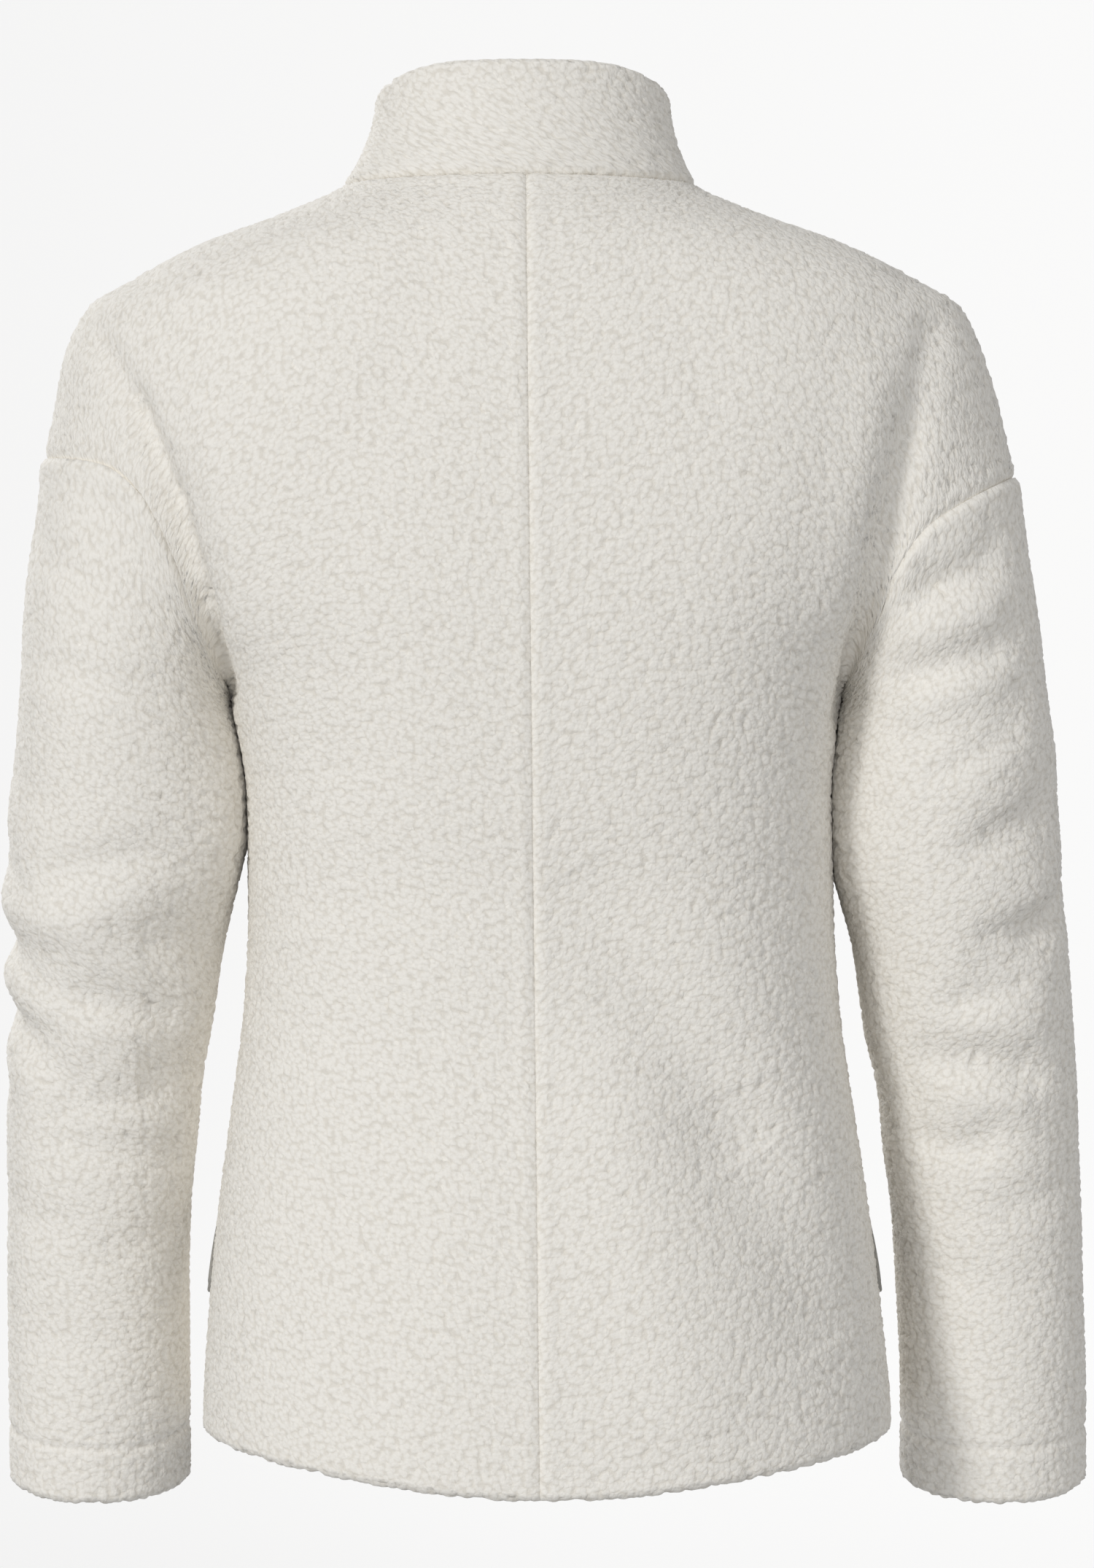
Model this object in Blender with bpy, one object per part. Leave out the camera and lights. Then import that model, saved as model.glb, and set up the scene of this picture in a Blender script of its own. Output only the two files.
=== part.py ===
"""Fleece jacket in its worn form: two backs, two fronts, two dropped sleeves, a stand
collar, a full-length zip with slider and pull tab, and two hand-pocket trims.

Metres, +Z up. The front faces -Y and the back faces +Y. The origin is at the middle of
the neck opening, at the height where the shoulder seams meet the collar.
"""
import math

import bmesh
import bpy
import numpy as np

# ------------------------------------------------------------------ driving sizes
FLEECE_WALL = 0.004
COLLAR_WALL = 0.005
SEAM_GAP = 0.0003
MIDDLE_Y = -0.005

UNDERARM_HEIGHT = -0.245
BLEND_WIDTH = 0.038
BLEND_RISE = 0.055

NECK_HEIGHT = 0.002
NECK_FRONT_DROP = 0.038
COLLAR_LIFT = 0.0012
COLLAR_TOP_BACK = 0.0585
COLLAR_TOP_FRONT = 0.0300
COLLAR_TOP_HALF_WIDTH = 0.0710
COLLAR_TOP_BACK_Y = 0.0520
COLLAR_TOP_FRONT_Y = -0.0690
COLLAR_TOP_CENTRE = 0.0055
COLLAR_FLARE = 1.8
COLLAR_SLANT = 1.1
COLLAR_ZIP_HEIGHT = 0.020

HEM_SIDE_HEIGHT = -0.606
HEM_BACK_DIP = 0.021
HEM_FRONT_RISE = 0.004

CUFF_BACK_HEIGHT = -0.645
CUFF_FRONT_RISE = 0.018
SEAM_STEP = 0.0022
SEAM_STEP_LENGTH = 0.022
STEP_FADE_HEIGHT = -0.225
STEP_FADE_LENGTH = 0.070

BACK_SEAM_TOP = 0.0036
BACK_SEAM_BOTTOM = -0.0032
BODY_LENGTH = 0.630

ZIP_OPENING_HALF = 0.0056
TAPE_HALF_WIDTH = 0.0150
TAPE_THICKNESS = 0.0010
CHAIN_HALF_WIDTH = 0.0032
CHAIN_THICKNESS = 0.0028
ZIP_CENTRE_GAP = 0.00015
TAPE_CLEARANCE = 0.0008
COLLAR_EXTRA_CLEARANCE = 0.0018
ZIP_TOP_MARGIN = 0.004
ZIP_BOTTOM_MARGIN = 0.003
COLLAR_TURN_START = 0.006
COLLAR_TURN_LENGTH = 0.012

SLIDER_DROP = 0.010
SLIDER_HALF_WIDTH = 0.0042
SLIDER_HALF_LENGTH = 0.0055
SLIDER_BACK = -0.0012
SLIDER_FACE = 0.0008
BRIDGE_HALF_WIDTH = 0.0009
BRIDGE_POST_IN = 0.00215
BRIDGE_POST_OUT = 0.00305
BRIDGE_UNDERSIDE = 0.0029
BRIDGE_TOP = 0.0038

TAB_HALF_WIDTH = 0.0033
TAB_LENGTH = 0.0240
TAB_THICKNESS = 0.0012
TAB_BAR_HALF = 0.0006
TAB_WINDOW_HALF_WIDTH = 0.0017
TAB_WINDOW_END = 0.0040
TAB_CENTRE_OUT = 0.0017
TAB_TOP_SHARE = 0.7
TAB_SHOULDER_SHARE = 0.85
TAB_SHOULDER_DROP = 0.0020
TAB_END_SHARE = 0.6
TAB_END_CORNER = 0.0020
TAB_WINDOW_TOP_CORNER = 0.0003
TAB_WINDOW_LOW_CORNER = 0.0006

POCKET_TRIM_WIDTH = 0.011
POCKET_TRIM_THICKNESS = 0.0012
POCKET_TRIM_CLEARANCE = 0.0006
POCKET_TOP_TURN = 50.0
POCKET_TOP_HEIGHT = -0.385
POCKET_LOW_TURN = 4.0
POCKET_LOW_HEIGHT = -0.537
POCKET_ROWS = 22

# Folds: how they run out at their ends and round the sides of the body and the arms.
FOLD_END_SHARE = 0.45
FOLD_END_FADE = 0.8
FOLD_FACING_DEPTH = 0.040
FOLD_ARM_RADIUS = 0.050
ARM_TOP_STEEPNESS = 3.0

# Rays from inside the garment: how far they look, and how often they halve their step.
HALVINGS = 44
BODY_REACH = 0.25
SHOULDER_REACH = 0.30
NECK_REACH = 0.20
ARMHOLE_REACH = 0.14
ARM_REACH = 0.10
DROP_POINT_RANGE = (0.20, 0.26)
HEM_TURN = 100.0
NECK_TURN = 104.0
NECK_DIP_POWER = 1.5
LARGEST_MOVE = 0.012
LINE_POINTS = 240
LONG_LINE_POINTS = 300
ARMHOLE_POINTS = 400
ZIP_LINE_POINTS = 600
ZIP_EVEN_ROUNDS = 60

# Grid counts: columns from the centre line out, rows from the hem up.
NECK_COLUMNS = 5
SHOULDER_COLUMNS = 9
SIDE_ROWS = 16
ARMHOLE_ROWS = 11
SLEEVE_ROWS = 33
COLLAR_COLUMNS = 20
COLLAR_ROWS = 4
ZIP_ROWS = 44
RELAX_ROUNDS = 60
FINAL_ROUNDS = 5
WALL_REACH = 0.003
FIRST_ROW_DROP = 0.007
CENTRE_CUT_DROP = 0.010
ANGLE_TURN_SHARE = 0.45
UNDERARM_LEAN_HEIGHT = -0.190
UNDERARM_LEAN_LENGTH = 0.030
UNDERARM_LEAN_DEPTH = 0.030

# ------------------------------------------------------------------ section tables
# One row for each level section of the body.
TORSO_COLUMNS = ("height", "centre", "half_width", "back", "front", "squareness")
TORSO = (
    (0.030, 0.0065, 0.0600, 0.0480, 0.0480, 2.0),
    (0.002, 0.0070, 0.0846, 0.0640, 0.0610, 2.0),
    (-0.014, 0.0062, 0.1200, 0.0770, 0.0720, 2.0),
    (-0.028, 0.0056, 0.1580, 0.0865, 0.0800, 2.1),
    (-0.042, 0.0048, 0.1840, 0.0935, 0.0860, 2.2),
    (-0.057, 0.0045, 0.1960, 0.0990, 0.0920, 2.4),
    (-0.085, 0.0035, 0.1980, 0.1070, 0.1010, 2.6),
    (-0.120, 0.0025, 0.1910, 0.1130, 0.1110, 2.8),
    (-0.160, 0.0010, 0.1800, 0.1170, 0.1170, 2.9),
    (-0.200, 0.0000, 0.1660, 0.1185, 0.1225, 2.8),
    (-0.245, -0.0010, 0.1500, 0.1165, 0.1250, 2.6),
    (-0.300, -0.0026, 0.1420, 0.1110, 0.1215, 2.5),
    (-0.350, -0.0034, 0.1420, 0.1060, 0.1180, 2.4),
    (-0.400, -0.0038, 0.1445, 0.1060, 0.1150, 2.4),
    (-0.450, -0.0042, 0.1510, 0.1110, 0.1160, 2.4),
    (-0.500, -0.0047, 0.1580, 0.1180, 0.1190, 2.4),
    (-0.550, -0.0055, 0.1635, 0.1235, 0.1220, 2.4),
    (-0.600, -0.0064, 0.1670, 0.1255, 0.1235, 2.4),
    (-0.660, -0.0066, 0.1680, 0.1260, 0.1240, 2.4),
)

# One row for each level section of an arm; outer and inner are distances from x = 0.
ARM_COLUMNS = ("height", "outer", "inner", "middle", "depth")
ARM_LEFT = (
    (-0.053, 0.2040, 0.1650, -0.0050, 0.0200),
    (-0.057, 0.2120, 0.1550, -0.0050, 0.0290),
    (-0.071, 0.2235, 0.1380, -0.0050, 0.0430),
    (-0.085, 0.2295, 0.1290, -0.0050, 0.0510),
    (-0.100, 0.2325, 0.1265, -0.0050, 0.0560),
    (-0.131, 0.2385, 0.1280, -0.0050, 0.0615),
    (-0.157, 0.2420, 0.1310, -0.0050, 0.0635),
    (-0.185, 0.2470, 0.1365, -0.0050, 0.0650),
    (-0.214, 0.2496, 0.1420, -0.0050, 0.0655),
    (-0.245, 0.2510, 0.1490, -0.0050, 0.0655),
    (-0.252, 0.2515, 0.1494, -0.0052, 0.0655),
    (-0.260, 0.2522, 0.1482, -0.0058, 0.0653),
    (-0.271, 0.2532, 0.1461, -0.0065, 0.0650),
    (-0.300, 0.2570, 0.1416, -0.0090, 0.0640),
    (-0.315, 0.2582, 0.1413, -0.0103, 0.0630),
    (-0.329, 0.2590, 0.1450, -0.0115, 0.0620),
    (-0.372, 0.2598, 0.1547, -0.0165, 0.0580),
    (-0.415, 0.2596, 0.1611, -0.0225, 0.0535),
    (-0.443, 0.2598, 0.1654, -0.0265, 0.0510),
    (-0.472, 0.2600, 0.1690, -0.0300, 0.0490),
    (-0.500, 0.2602, 0.1718, -0.0335, 0.0475),
    (-0.543, 0.2606, 0.1730, -0.0390, 0.0460),
    (-0.586, 0.2606, 0.1730, -0.0440, 0.0455),
    (-0.660, 0.2604, 0.1730, -0.0520, 0.0450),
)
ARM_RIGHT = (
    (-0.053, 0.1950, 0.1560, -0.0050, 0.0200),
    (-0.057, 0.2030, 0.1460, -0.0050, 0.0290),
    (-0.071, 0.2130, 0.1290, -0.0050, 0.0430),
    (-0.085, 0.2195, 0.1220, -0.0050, 0.0510),
    (-0.100, 0.2250, 0.1210, -0.0050, 0.0560),
    (-0.131, 0.2325, 0.1230, -0.0050, 0.0615),
    (-0.157, 0.2380, 0.1290, -0.0050, 0.0635),
    (-0.185, 0.2424, 0.1350, -0.0050, 0.0650),
    (-0.214, 0.2470, 0.1420, -0.0050, 0.0655),
    (-0.245, 0.2505, 0.1510, -0.0050, 0.0655),
    (-0.252, 0.2515, 0.1518, -0.0052, 0.0655),
    (-0.260, 0.2527, 0.1509, -0.0058, 0.0653),
    (-0.271, 0.2545, 0.1497, -0.0065, 0.0650),
    (-0.300, 0.2563, 0.1467, -0.0090, 0.0640),
    (-0.315, 0.2575, 0.1466, -0.0103, 0.0630),
    (-0.329, 0.2586, 0.1485, -0.0115, 0.0620),
    (-0.372, 0.2622, 0.1586, -0.0165, 0.0580),
    (-0.415, 0.2656, 0.1650, -0.0225, 0.0535),
    (-0.443, 0.2676, 0.1715, -0.0265, 0.0510),
    (-0.472, 0.2688, 0.1745, -0.0300, 0.0490),
    (-0.500, 0.2703, 0.1785, -0.0335, 0.0475),
    (-0.543, 0.2718, 0.1815, -0.0390, 0.0460),
    (-0.586, 0.2736, 0.1838, -0.0440, 0.0455),
    (-0.660, 0.2745, 0.1842, -0.0520, 0.0450),
)

# Height of the armhole seam over the distance from x = 0.
ARMHOLE_COLUMNS = ("across", "height")
ARMHOLE_LEFT = (
    (0.149, -0.245),
    (0.155, -0.233),
    (0.164, -0.212),
    (0.174, -0.182),
    (0.188, -0.153),
    (0.209, -0.137),
    (0.250, -0.131),
)
ARMHOLE_RIGHT = (
    (0.151, -0.245),
    (0.157, -0.233),
    (0.166, -0.212),
    (0.175, -0.189),
    (0.187, -0.170),
    (0.205, -0.157),
    (0.245, -0.136),
)

# Sleeve folds: angles in degrees round the arm, 0 outward, 90 to the back, 180 inward.
# Depth below zero is a trough, above zero a ridge.
SLEEVE_FOLD_COLUMNS = ("angle_a", "height_a", "angle_b", "height_b", "width", "depth")
FOLDS_LEFT = (
    (0, -0.322, 48, -0.347, 0.011, -0.0030),
    (36, -0.346, 74, -0.363, 0.012, 0.0026),
    (70, -0.363, 122, -0.344, 0.012, 0.0028),
    (-20, -0.360, 50, -0.385, 0.011, -0.0045),
    (50, -0.387, 135, -0.399, 0.012, -0.0038),
    (-20, -0.392, 44, -0.417, 0.011, -0.0045),
    (40, -0.417, 80, -0.440, 0.012, -0.0040),
    (112, -0.368, 165, -0.366, 0.016, -0.0050),
    (108, -0.430, 165, -0.428, 0.018, -0.0055),
    (60, -0.465, 140, -0.472, 0.011, -0.0032),
    (-30, -0.431, 20, -0.436, 0.011, -0.0028),
    (-60, -0.340, -120, -0.356, 0.014, -0.0040),
    (-50, -0.385, -125, -0.392, 0.014, -0.0045),
    (-70, -0.430, -130, -0.420, 0.013, -0.0035),
)
FOLDS_RIGHT = (
    (52, -0.166, 100, -0.198, 0.010, -0.0036),
    (45, -0.216, 112, -0.238, 0.011, -0.0036),
    (45, -0.243, 116, -0.272, 0.011, -0.0036),
    (38, -0.310, 84, -0.318, 0.012, -0.0028),
    (10, -0.342, 55, -0.366, 0.011, -0.0040),
    (50, -0.364, 92, -0.384, 0.012, -0.0040),
    (60, -0.430, 92, -0.419, 0.010, -0.0038),
    (88, -0.419, 122, -0.424, 0.010, -0.0032),
    (78, -0.458, 98, -0.468, 0.009, -0.0026),
    (62, -0.444, 110, -0.440, 0.012, 0.0026),
    (-40, -0.300, -110, -0.320, 0.014, -0.0038),
    (-50, -0.350, -125, -0.362, 0.014, -0.0045),
    (-60, -0.400, -130, -0.396, 0.013, -0.0040),
)

# Body folds: side is 1 on the back and -1 on the front.
BODY_FOLD_COLUMNS = ("side", "x_a", "height_a", "x_b", "height_b", "width", "depth")
BODY_FOLDS = (
    (1, -0.020, -0.330, -0.100, -0.470, 0.026, -0.0045),
    (1, -0.085, -0.440, -0.140, -0.560, 0.026, -0.0055),
    (1, -0.030, -0.440, -0.075, -0.600, 0.030, 0.0035),
    (1, 0.098, -0.130, 0.092, -0.290, 0.024, -0.0024),
    (1, 0.040, -0.030, 0.070, -0.120, 0.020, -0.0018),
    (1, -0.050, -0.030, -0.090, -0.110, 0.020, -0.0014),
    (-1, 0.135, -0.270, 0.068, -0.340, 0.020, -0.0036),
    (-1, -0.135, -0.270, -0.072, -0.335, 0.020, -0.0034),
    (-1, 0.120, -0.410, 0.080, -0.580, 0.024, -0.0036),
    (-1, -0.115, -0.400, -0.085, -0.570, 0.024, -0.0036),
)


# ------------------------------------------------------------------ tables and curves
def column(rows, names, name):
    """One named column of a table as numbers."""
    place = names.index(name)
    return np.array([row[place] for row in rows], dtype=float)


def eased(knots, values, at):
    """A curve without overshoot through the table's values."""
    order = np.argsort(knots)
    knots = np.asarray(knots, dtype=float)[order]
    values = np.asarray(values, dtype=float)[order]
    steps = np.diff(knots)
    rises = np.diff(values) / steps
    slopes = np.zeros(len(knots))
    same = rises[:-1] * rises[1:] > 0.0
    left = 2.0 * steps[1:] + steps[:-1]
    right = steps[1:] + 2.0 * steps[:-1]
    safe_a = np.where(same, rises[:-1], 1.0)
    safe_b = np.where(same, rises[1:], 1.0)
    slopes[1:-1] = np.where(same, (left + right) / (left / safe_a + right / safe_b), 0.0)
    slopes[0] = rises[0]
    slopes[-1] = rises[-1]
    at = np.clip(np.asarray(at, dtype=float), knots[0], knots[-1])
    cell = np.clip(np.searchsorted(knots, at) - 1, 0, len(knots) - 2)
    size = steps[cell]
    part = (at - knots[cell]) / size
    square = part * part
    cube = square * part
    return (
        (2.0 * cube - 3.0 * square + 1.0) * values[cell]
        + (cube - 2.0 * square + part) * size * slopes[cell]
        + (3.0 * square - 2.0 * cube) * values[cell + 1]
        + (cube - square) * size * slopes[cell + 1]
    )


def torso_value(name, height):
    """A body section value at the given heights."""
    knots = column(TORSO, TORSO_COLUMNS, "height")
    return eased(knots, column(TORSO, TORSO_COLUMNS, name), height)


def arm_rows(hand):
    """The arm table of one side; hand is 1 on the wearer's left, -1 on the right."""
    return ARM_LEFT if hand > 0 else ARM_RIGHT


def arm_value(hand, name, height):
    """An arm section value at the given heights."""
    rows = arm_rows(hand)
    knots = column(rows, ARM_COLUMNS, "height")
    return eased(knots, column(rows, ARM_COLUMNS, name), height)


def smooth_step(value):
    """0 below 0, 1 above 1, smooth between."""
    value = np.clip(value, 0.0, 1.0)
    return value * value * (3.0 - 2.0 * value)


def back_seam(height):
    """x of the centre lines over the height."""
    part = np.clip(-np.asarray(height, dtype=float) / BODY_LENGTH, -0.2, 1.2)
    return BACK_SEAM_TOP + (BACK_SEAM_BOTTOM - BACK_SEAM_TOP) * part


def armhole_height(hand, across):
    """Height of the armhole seam at a distance from x = 0."""
    rows = ARMHOLE_LEFT if hand > 0 else ARMHOLE_RIGHT
    knots = column(rows, ARMHOLE_COLUMNS, "across")
    return eased(knots, column(rows, ARMHOLE_COLUMNS, "height"), across)


# ------------------------------------------------------------------ distance functions
def segment_bump(first, second, start, end, width, depth):
    """A soft trough or ridge along a segment, in any two flat coordinates."""
    run = (end[0] - start[0], end[1] - start[1])
    length = math.hypot(run[0], run[1])
    along = ((first - start[0]) * run[0] + (second - start[1]) * run[1]) / length ** 2
    off_line = ((first - start[0]) * run[1] - (second - start[1]) * run[0]) / length
    past = np.maximum(np.abs(along - 0.5) - 0.5, 0.0) * length
    inside = np.sqrt(np.clip(1.0 - (2.0 * np.clip(along, 0.0, 1.0) - 1.0) ** 4, 0.0, 1.0))
    share = FOLD_END_SHARE + (1.0 - FOLD_END_SHARE) * inside
    fade = np.exp(-((past / (FOLD_END_FADE * width)) ** 2)) * share
    return depth * np.exp(-((off_line / width) ** 2)) * fade


def body_folds(points):
    """Height of the body's folds at the points."""
    total = np.zeros(len(points))
    for row in BODY_FOLDS:
        fold = dict(zip(BODY_FOLD_COLUMNS, row))
        bump = segment_bump(
            points[:, 0],
            points[:, 2],
            (fold["x_a"], fold["height_a"]),
            (fold["x_b"], fold["height_b"]),
            fold["width"],
            fold["depth"],
        )
        facing = smooth_step((points[:, 1] - MIDDLE_Y) * fold["side"] / FOLD_FACING_DEPTH)
        total += bump * facing
    return total


def sleeve_folds(points, hand):
    """Height of a sleeve's folds at the points."""
    height = points[:, 2]
    outer = arm_value(hand, "outer", height)
    inner = arm_value(hand, "inner", height)
    middle = arm_value(hand, "middle", height)
    radius = 0.5 * (outer - inner)
    across = points[:, 0] * hand - 0.5 * (outer + inner)
    angle = np.arctan2(points[:, 1] - middle, across)
    total = np.zeros(len(points))
    rows = FOLDS_LEFT if hand > 0 else FOLDS_RIGHT
    for row in rows:
        fold = dict(zip(SLEEVE_FOLD_COLUMNS, row))
        start = math.radians(fold["angle_a"])
        end = math.radians(fold["angle_b"])
        turned = angle - 0.5 * (start + end)
        turned = (turned + math.pi) % (2.0 * math.pi) - math.pi + 0.5 * (start + end)
        total += segment_bump(
            turned * radius,
            height,
            (start * FOLD_ARM_RADIUS, fold["height_a"]),
            (end * FOLD_ARM_RADIUS, fold["height_b"]),
            fold["width"],
            fold["depth"],
        )
    return total


def torso_distance(points):
    """Distance outward from the body's sections."""
    height = points[:, 2]
    across = points[:, 0] - torso_value("centre", height)
    deep = points[:, 1] - MIDDLE_Y
    half = torso_value("half_width", height)
    back = torso_value("back", height) - MIDDLE_Y
    front = torso_value("front", height) + MIDDLE_Y
    depth = np.where(deep > 0.0, back, front)
    power = torso_value("squareness", height)
    ratio = (np.abs(across / half) ** power + np.abs(deep / depth) ** power) ** (1.0 / power)
    ratio = np.maximum(ratio, 1e-6)
    return np.hypot(across, deep) * (1.0 - 1.0 / ratio)


def arm_distance(points, hand):
    """Distance outward from one arm's sections."""
    height = points[:, 2]
    outer = arm_value(hand, "outer", height)
    inner = arm_value(hand, "inner", height)
    across = points[:, 0] * hand - 0.5 * (outer + inner)
    deep = points[:, 1] - arm_value(hand, "middle", height)
    radius = 0.5 * (outer - inner)
    ratio = np.hypot(across / radius, deep / arm_value(hand, "depth", height))
    ratio = np.maximum(ratio, 1e-6)
    top = column(arm_rows(hand), ARM_COLUMNS, "height").max()
    above = np.maximum(height - top, 0.0)
    return np.hypot(across, deep) * (1.0 - 1.0 / ratio) + ARM_TOP_STEEPNESS * above


def joined_distance(points, hand):
    """Body and arm run together above the underarm."""
    body = torso_distance(points)
    arm = arm_distance(points, hand)
    rise = smooth_step((points[:, 2] - UNDERARM_HEIGHT) / BLEND_RISE)
    width = np.maximum(BLEND_WIDTH * rise, 1e-6)
    near = np.maximum(width - np.abs(body - arm), 0.0) / width
    return np.minimum(body, arm) - near * near * width * 0.25


def panel_distance(points, hand):
    """Distance from the surface that the body panels follow."""
    whole = joined_distance(points, hand)
    alone = torso_distance(points)
    value = np.where(points[:, 2] > UNDERARM_HEIGHT, whole, alone)
    return value - body_folds(points)


def sleeve_step(points, hand):
    """The sleeve stands a little proud just below the armhole seam."""
    across = np.abs(points[:, 0])
    below = np.maximum(armhole_height(hand, across) - points[:, 2], 0.0)
    rise = armhole_height(hand, across) - STEP_FADE_HEIGHT
    strength = smooth_step(rise / STEP_FADE_LENGTH)
    return SEAM_STEP * strength * np.exp(-below / SEAM_STEP_LENGTH)


def sleeve_distance(points, hand):
    """Distance from the surface that a sleeve follows."""
    whole = joined_distance(points, hand)
    alone = arm_distance(points, hand)
    value = np.where(points[:, 2] > UNDERARM_HEIGHT, whole, alone)
    return value - body_folds(points) * smooth_step(
        (points[:, 2] - UNDERARM_HEIGHT) / BLEND_RISE
    ) - sleeve_folds(points, hand) - sleeve_step(points, hand)


def slope_of(points, distance, reach=0.0004):
    """Direction of steepest growth of a distance."""
    slope = np.zeros_like(points)
    for axis in range(3):
        shift = np.zeros(3)
        shift[axis] = reach
        slope[:, axis] = (distance(points + shift) - distance(points - shift)) / (2.0 * reach)
    return slope


def settle(points, distance, rounds):
    """Points moved onto the surface where the distance is nothing."""
    for _ in range(rounds):
        value = distance(points)
        slope = slope_of(points, distance)
        size = np.maximum((slope ** 2).sum(axis=1), 1e-3)
        move = (value / size)[:, None] * slope
        length = np.linalg.norm(move, axis=1)
        scale = np.minimum(1.0, LARGEST_MOVE / np.maximum(length, 1e-9))
        points = points - move * scale[:, None]
    return points


def outward(points, distance):
    """Unit directions pointing out of the surface, evened over a few millimetres."""
    slope = slope_of(points, distance, WALL_REACH)
    return slope / np.maximum(np.linalg.norm(slope, axis=1), 1e-9)[:, None]


def first_exit(starts, directions, reach, distance):
    """Where lines from inside the surface leave it."""
    low = np.zeros(len(starts))
    high = np.full(len(starts), reach)
    for _ in range(HALVINGS):
        half = 0.5 * (low + high)
        inside = distance(starts + directions * half[:, None]) < 0.0
        low = np.where(inside, half, low)
        high = np.where(inside, high, half)
    return starts + directions * (0.5 * (low + high))[:, None]


# ------------------------------------------------------------------ lines on the surface
def evened(line, count):
    """A line's points set at even lengths; count is the number of steps."""
    lengths = np.concatenate([[0.0], np.cumsum(np.linalg.norm(np.diff(line, axis=0), axis=1))])
    marks = np.linspace(0.0, lengths[-1], count + 1)
    return np.stack([np.interp(marks, lengths, line[:, axis]) for axis in range(3)], axis=1)


def clipped(line, hand, offset):
    """The part of a line beyond the centre line, with its crossing added."""
    beyond = (line[:, 0] - back_seam(line[:, 2])) * hand - offset
    last = np.nonzero(beyond > 0.0)[0][-1]
    part = beyond[last] / (beyond[last] - beyond[last + 1])
    cross = line[last] + (line[last + 1] - line[last]) * part
    return np.concatenate([line[: last + 1], cross[None, :]])


def middle_points(height):
    """Points on the body's middle line at the given heights."""
    return np.stack(
        [torso_value("centre", height), np.full(len(height), MIDDLE_Y), height], axis=1
    )


def hem_line(hand, face, offset):
    """Lower edge from the side seam to the centre."""
    turn = np.linspace(0.0, math.radians(HEM_TURN), LINE_POINTS)
    dip = HEM_BACK_DIP if face > 0 else -HEM_FRONT_RISE
    height = HEM_SIDE_HEIGHT - dip * np.sin(turn) ** 2
    starts = middle_points(height)
    aim = np.stack([np.cos(turn) * hand, np.sin(turn) * face, np.zeros(LINE_POINTS)], axis=1)
    line = first_exit(starts, aim, BODY_REACH, lambda p: panel_distance(p, hand))
    return clipped(line, hand, offset)


def neck_line(hand, face, offset):
    """Neck edge from the shoulder seam to the centre."""
    turn = np.linspace(0.0, math.radians(NECK_TURN), LINE_POINTS)
    drop = 0.0 if face > 0 else NECK_FRONT_DROP
    height = NECK_HEIGHT - drop * np.clip(np.sin(turn), 0.0, 1.0) ** NECK_DIP_POWER
    starts = middle_points(height)
    aim = np.stack([np.cos(turn) * hand, np.sin(turn) * face, np.zeros(LINE_POINTS)], axis=1)
    line = first_exit(starts, aim, NECK_REACH, lambda p: panel_distance(p, hand))
    return clipped(line, hand, offset)


def side_line(hand):
    """Side seam from the hem to the underarm."""
    height = np.linspace(HEM_SIDE_HEIGHT, UNDERARM_HEIGHT, LINE_POINTS)
    across = torso_value("centre", height) + hand * torso_value("half_width", height)
    return np.stack([across, np.full(LINE_POINTS, MIDDLE_Y), height], axis=1)


def drop_point(hand):
    """Outer end of the shoulder seam, where it meets the armhole seam."""
    low, high = DROP_POINT_RANGE
    for _ in range(HALVINGS):
        half = 0.5 * (low + high)
        point = np.array([[half * hand, MIDDLE_Y, float(armhole_height(hand, half))]])
        if joined_distance(point, hand)[0] < 0.0:
            low = half
        else:
            high = half
    return 0.5 * (low + high)


def armhole_line(hand, face):
    """Armhole seam from the underarm up to the end of the shoulder seam."""
    underarm = float(torso_value("centre", UNDERARM_HEIGHT)) * hand
    underarm += float(torso_value("half_width", UNDERARM_HEIGHT))
    tip = drop_point(hand)
    wave = 0.5 - 0.5 * np.cos(np.linspace(0.0, math.pi, ARMHOLE_POINTS))
    across = underarm + (tip - underarm) * wave
    height = armhole_height(hand, across)
    starts = np.stack([across * hand, np.full(ARMHOLE_POINTS, MIDDLE_Y), height], axis=1)
    aim = np.tile(np.array([0.0, float(face), 0.0]), (ARMHOLE_POINTS, 1))
    line = first_exit(starts, aim, ARMHOLE_REACH, lambda p: joined_distance(p, hand))
    line[0] = (underarm * hand, MIDDLE_Y, UNDERARM_HEIGHT)
    line[-1] = (tip * hand, MIDDLE_Y, height[-1])
    return line


def shoulder_line(hand):
    """Shoulder seam from the neck to the armhole seam."""
    tip = drop_point(hand)
    end = float(armhole_height(hand, tip))
    part = np.linspace(0.0, 1.0, LONG_LINE_POINTS)
    height = NECK_HEIGHT + (end - NECK_HEIGHT) * part
    starts = middle_points(height)
    aim = np.tile(np.array([float(hand), 0.0, 0.0]), (LONG_LINE_POINTS, 1))
    return first_exit(starts, aim, SHOULDER_REACH, lambda p: joined_distance(p, hand))


def centre_line(hand, face, offset, start, end):
    """Centre edge from the hem to the neck."""
    height = np.linspace(start[2], end[2], LONG_LINE_POINTS)
    across = back_seam(height) + hand * offset
    starts = np.stack([across, np.full(LONG_LINE_POINTS, MIDDLE_Y), height], axis=1)
    aim = np.tile(np.array([0.0, float(face), 0.0]), (LONG_LINE_POINTS, 1))
    return first_exit(starts, aim, NECK_REACH, lambda p: panel_distance(p, hand))


# ------------------------------------------------------------------ grids of points
def spanned(left, right, bottom, top):
    """A grid between four edges; left and right run up, bottom and top run across."""
    rows = len(left)
    cols = len(bottom)
    v = np.linspace(0.0, 1.0, rows)[:, None, None]
    u = np.linspace(0.0, 1.0, cols)[None, :, None]
    across = left[:, None, :] * (1.0 - u) + right[:, None, :] * u
    upward = bottom[None, :, :] * (1.0 - v) + top[None, :, :] * v
    corner = (
        bottom[0] * (1.0 - u) * (1.0 - v)
        + bottom[-1] * u * (1.0 - v)
        + top[0] * (1.0 - u) * v
        + top[-1] * u * v
    )
    return across + upward - corner


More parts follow.
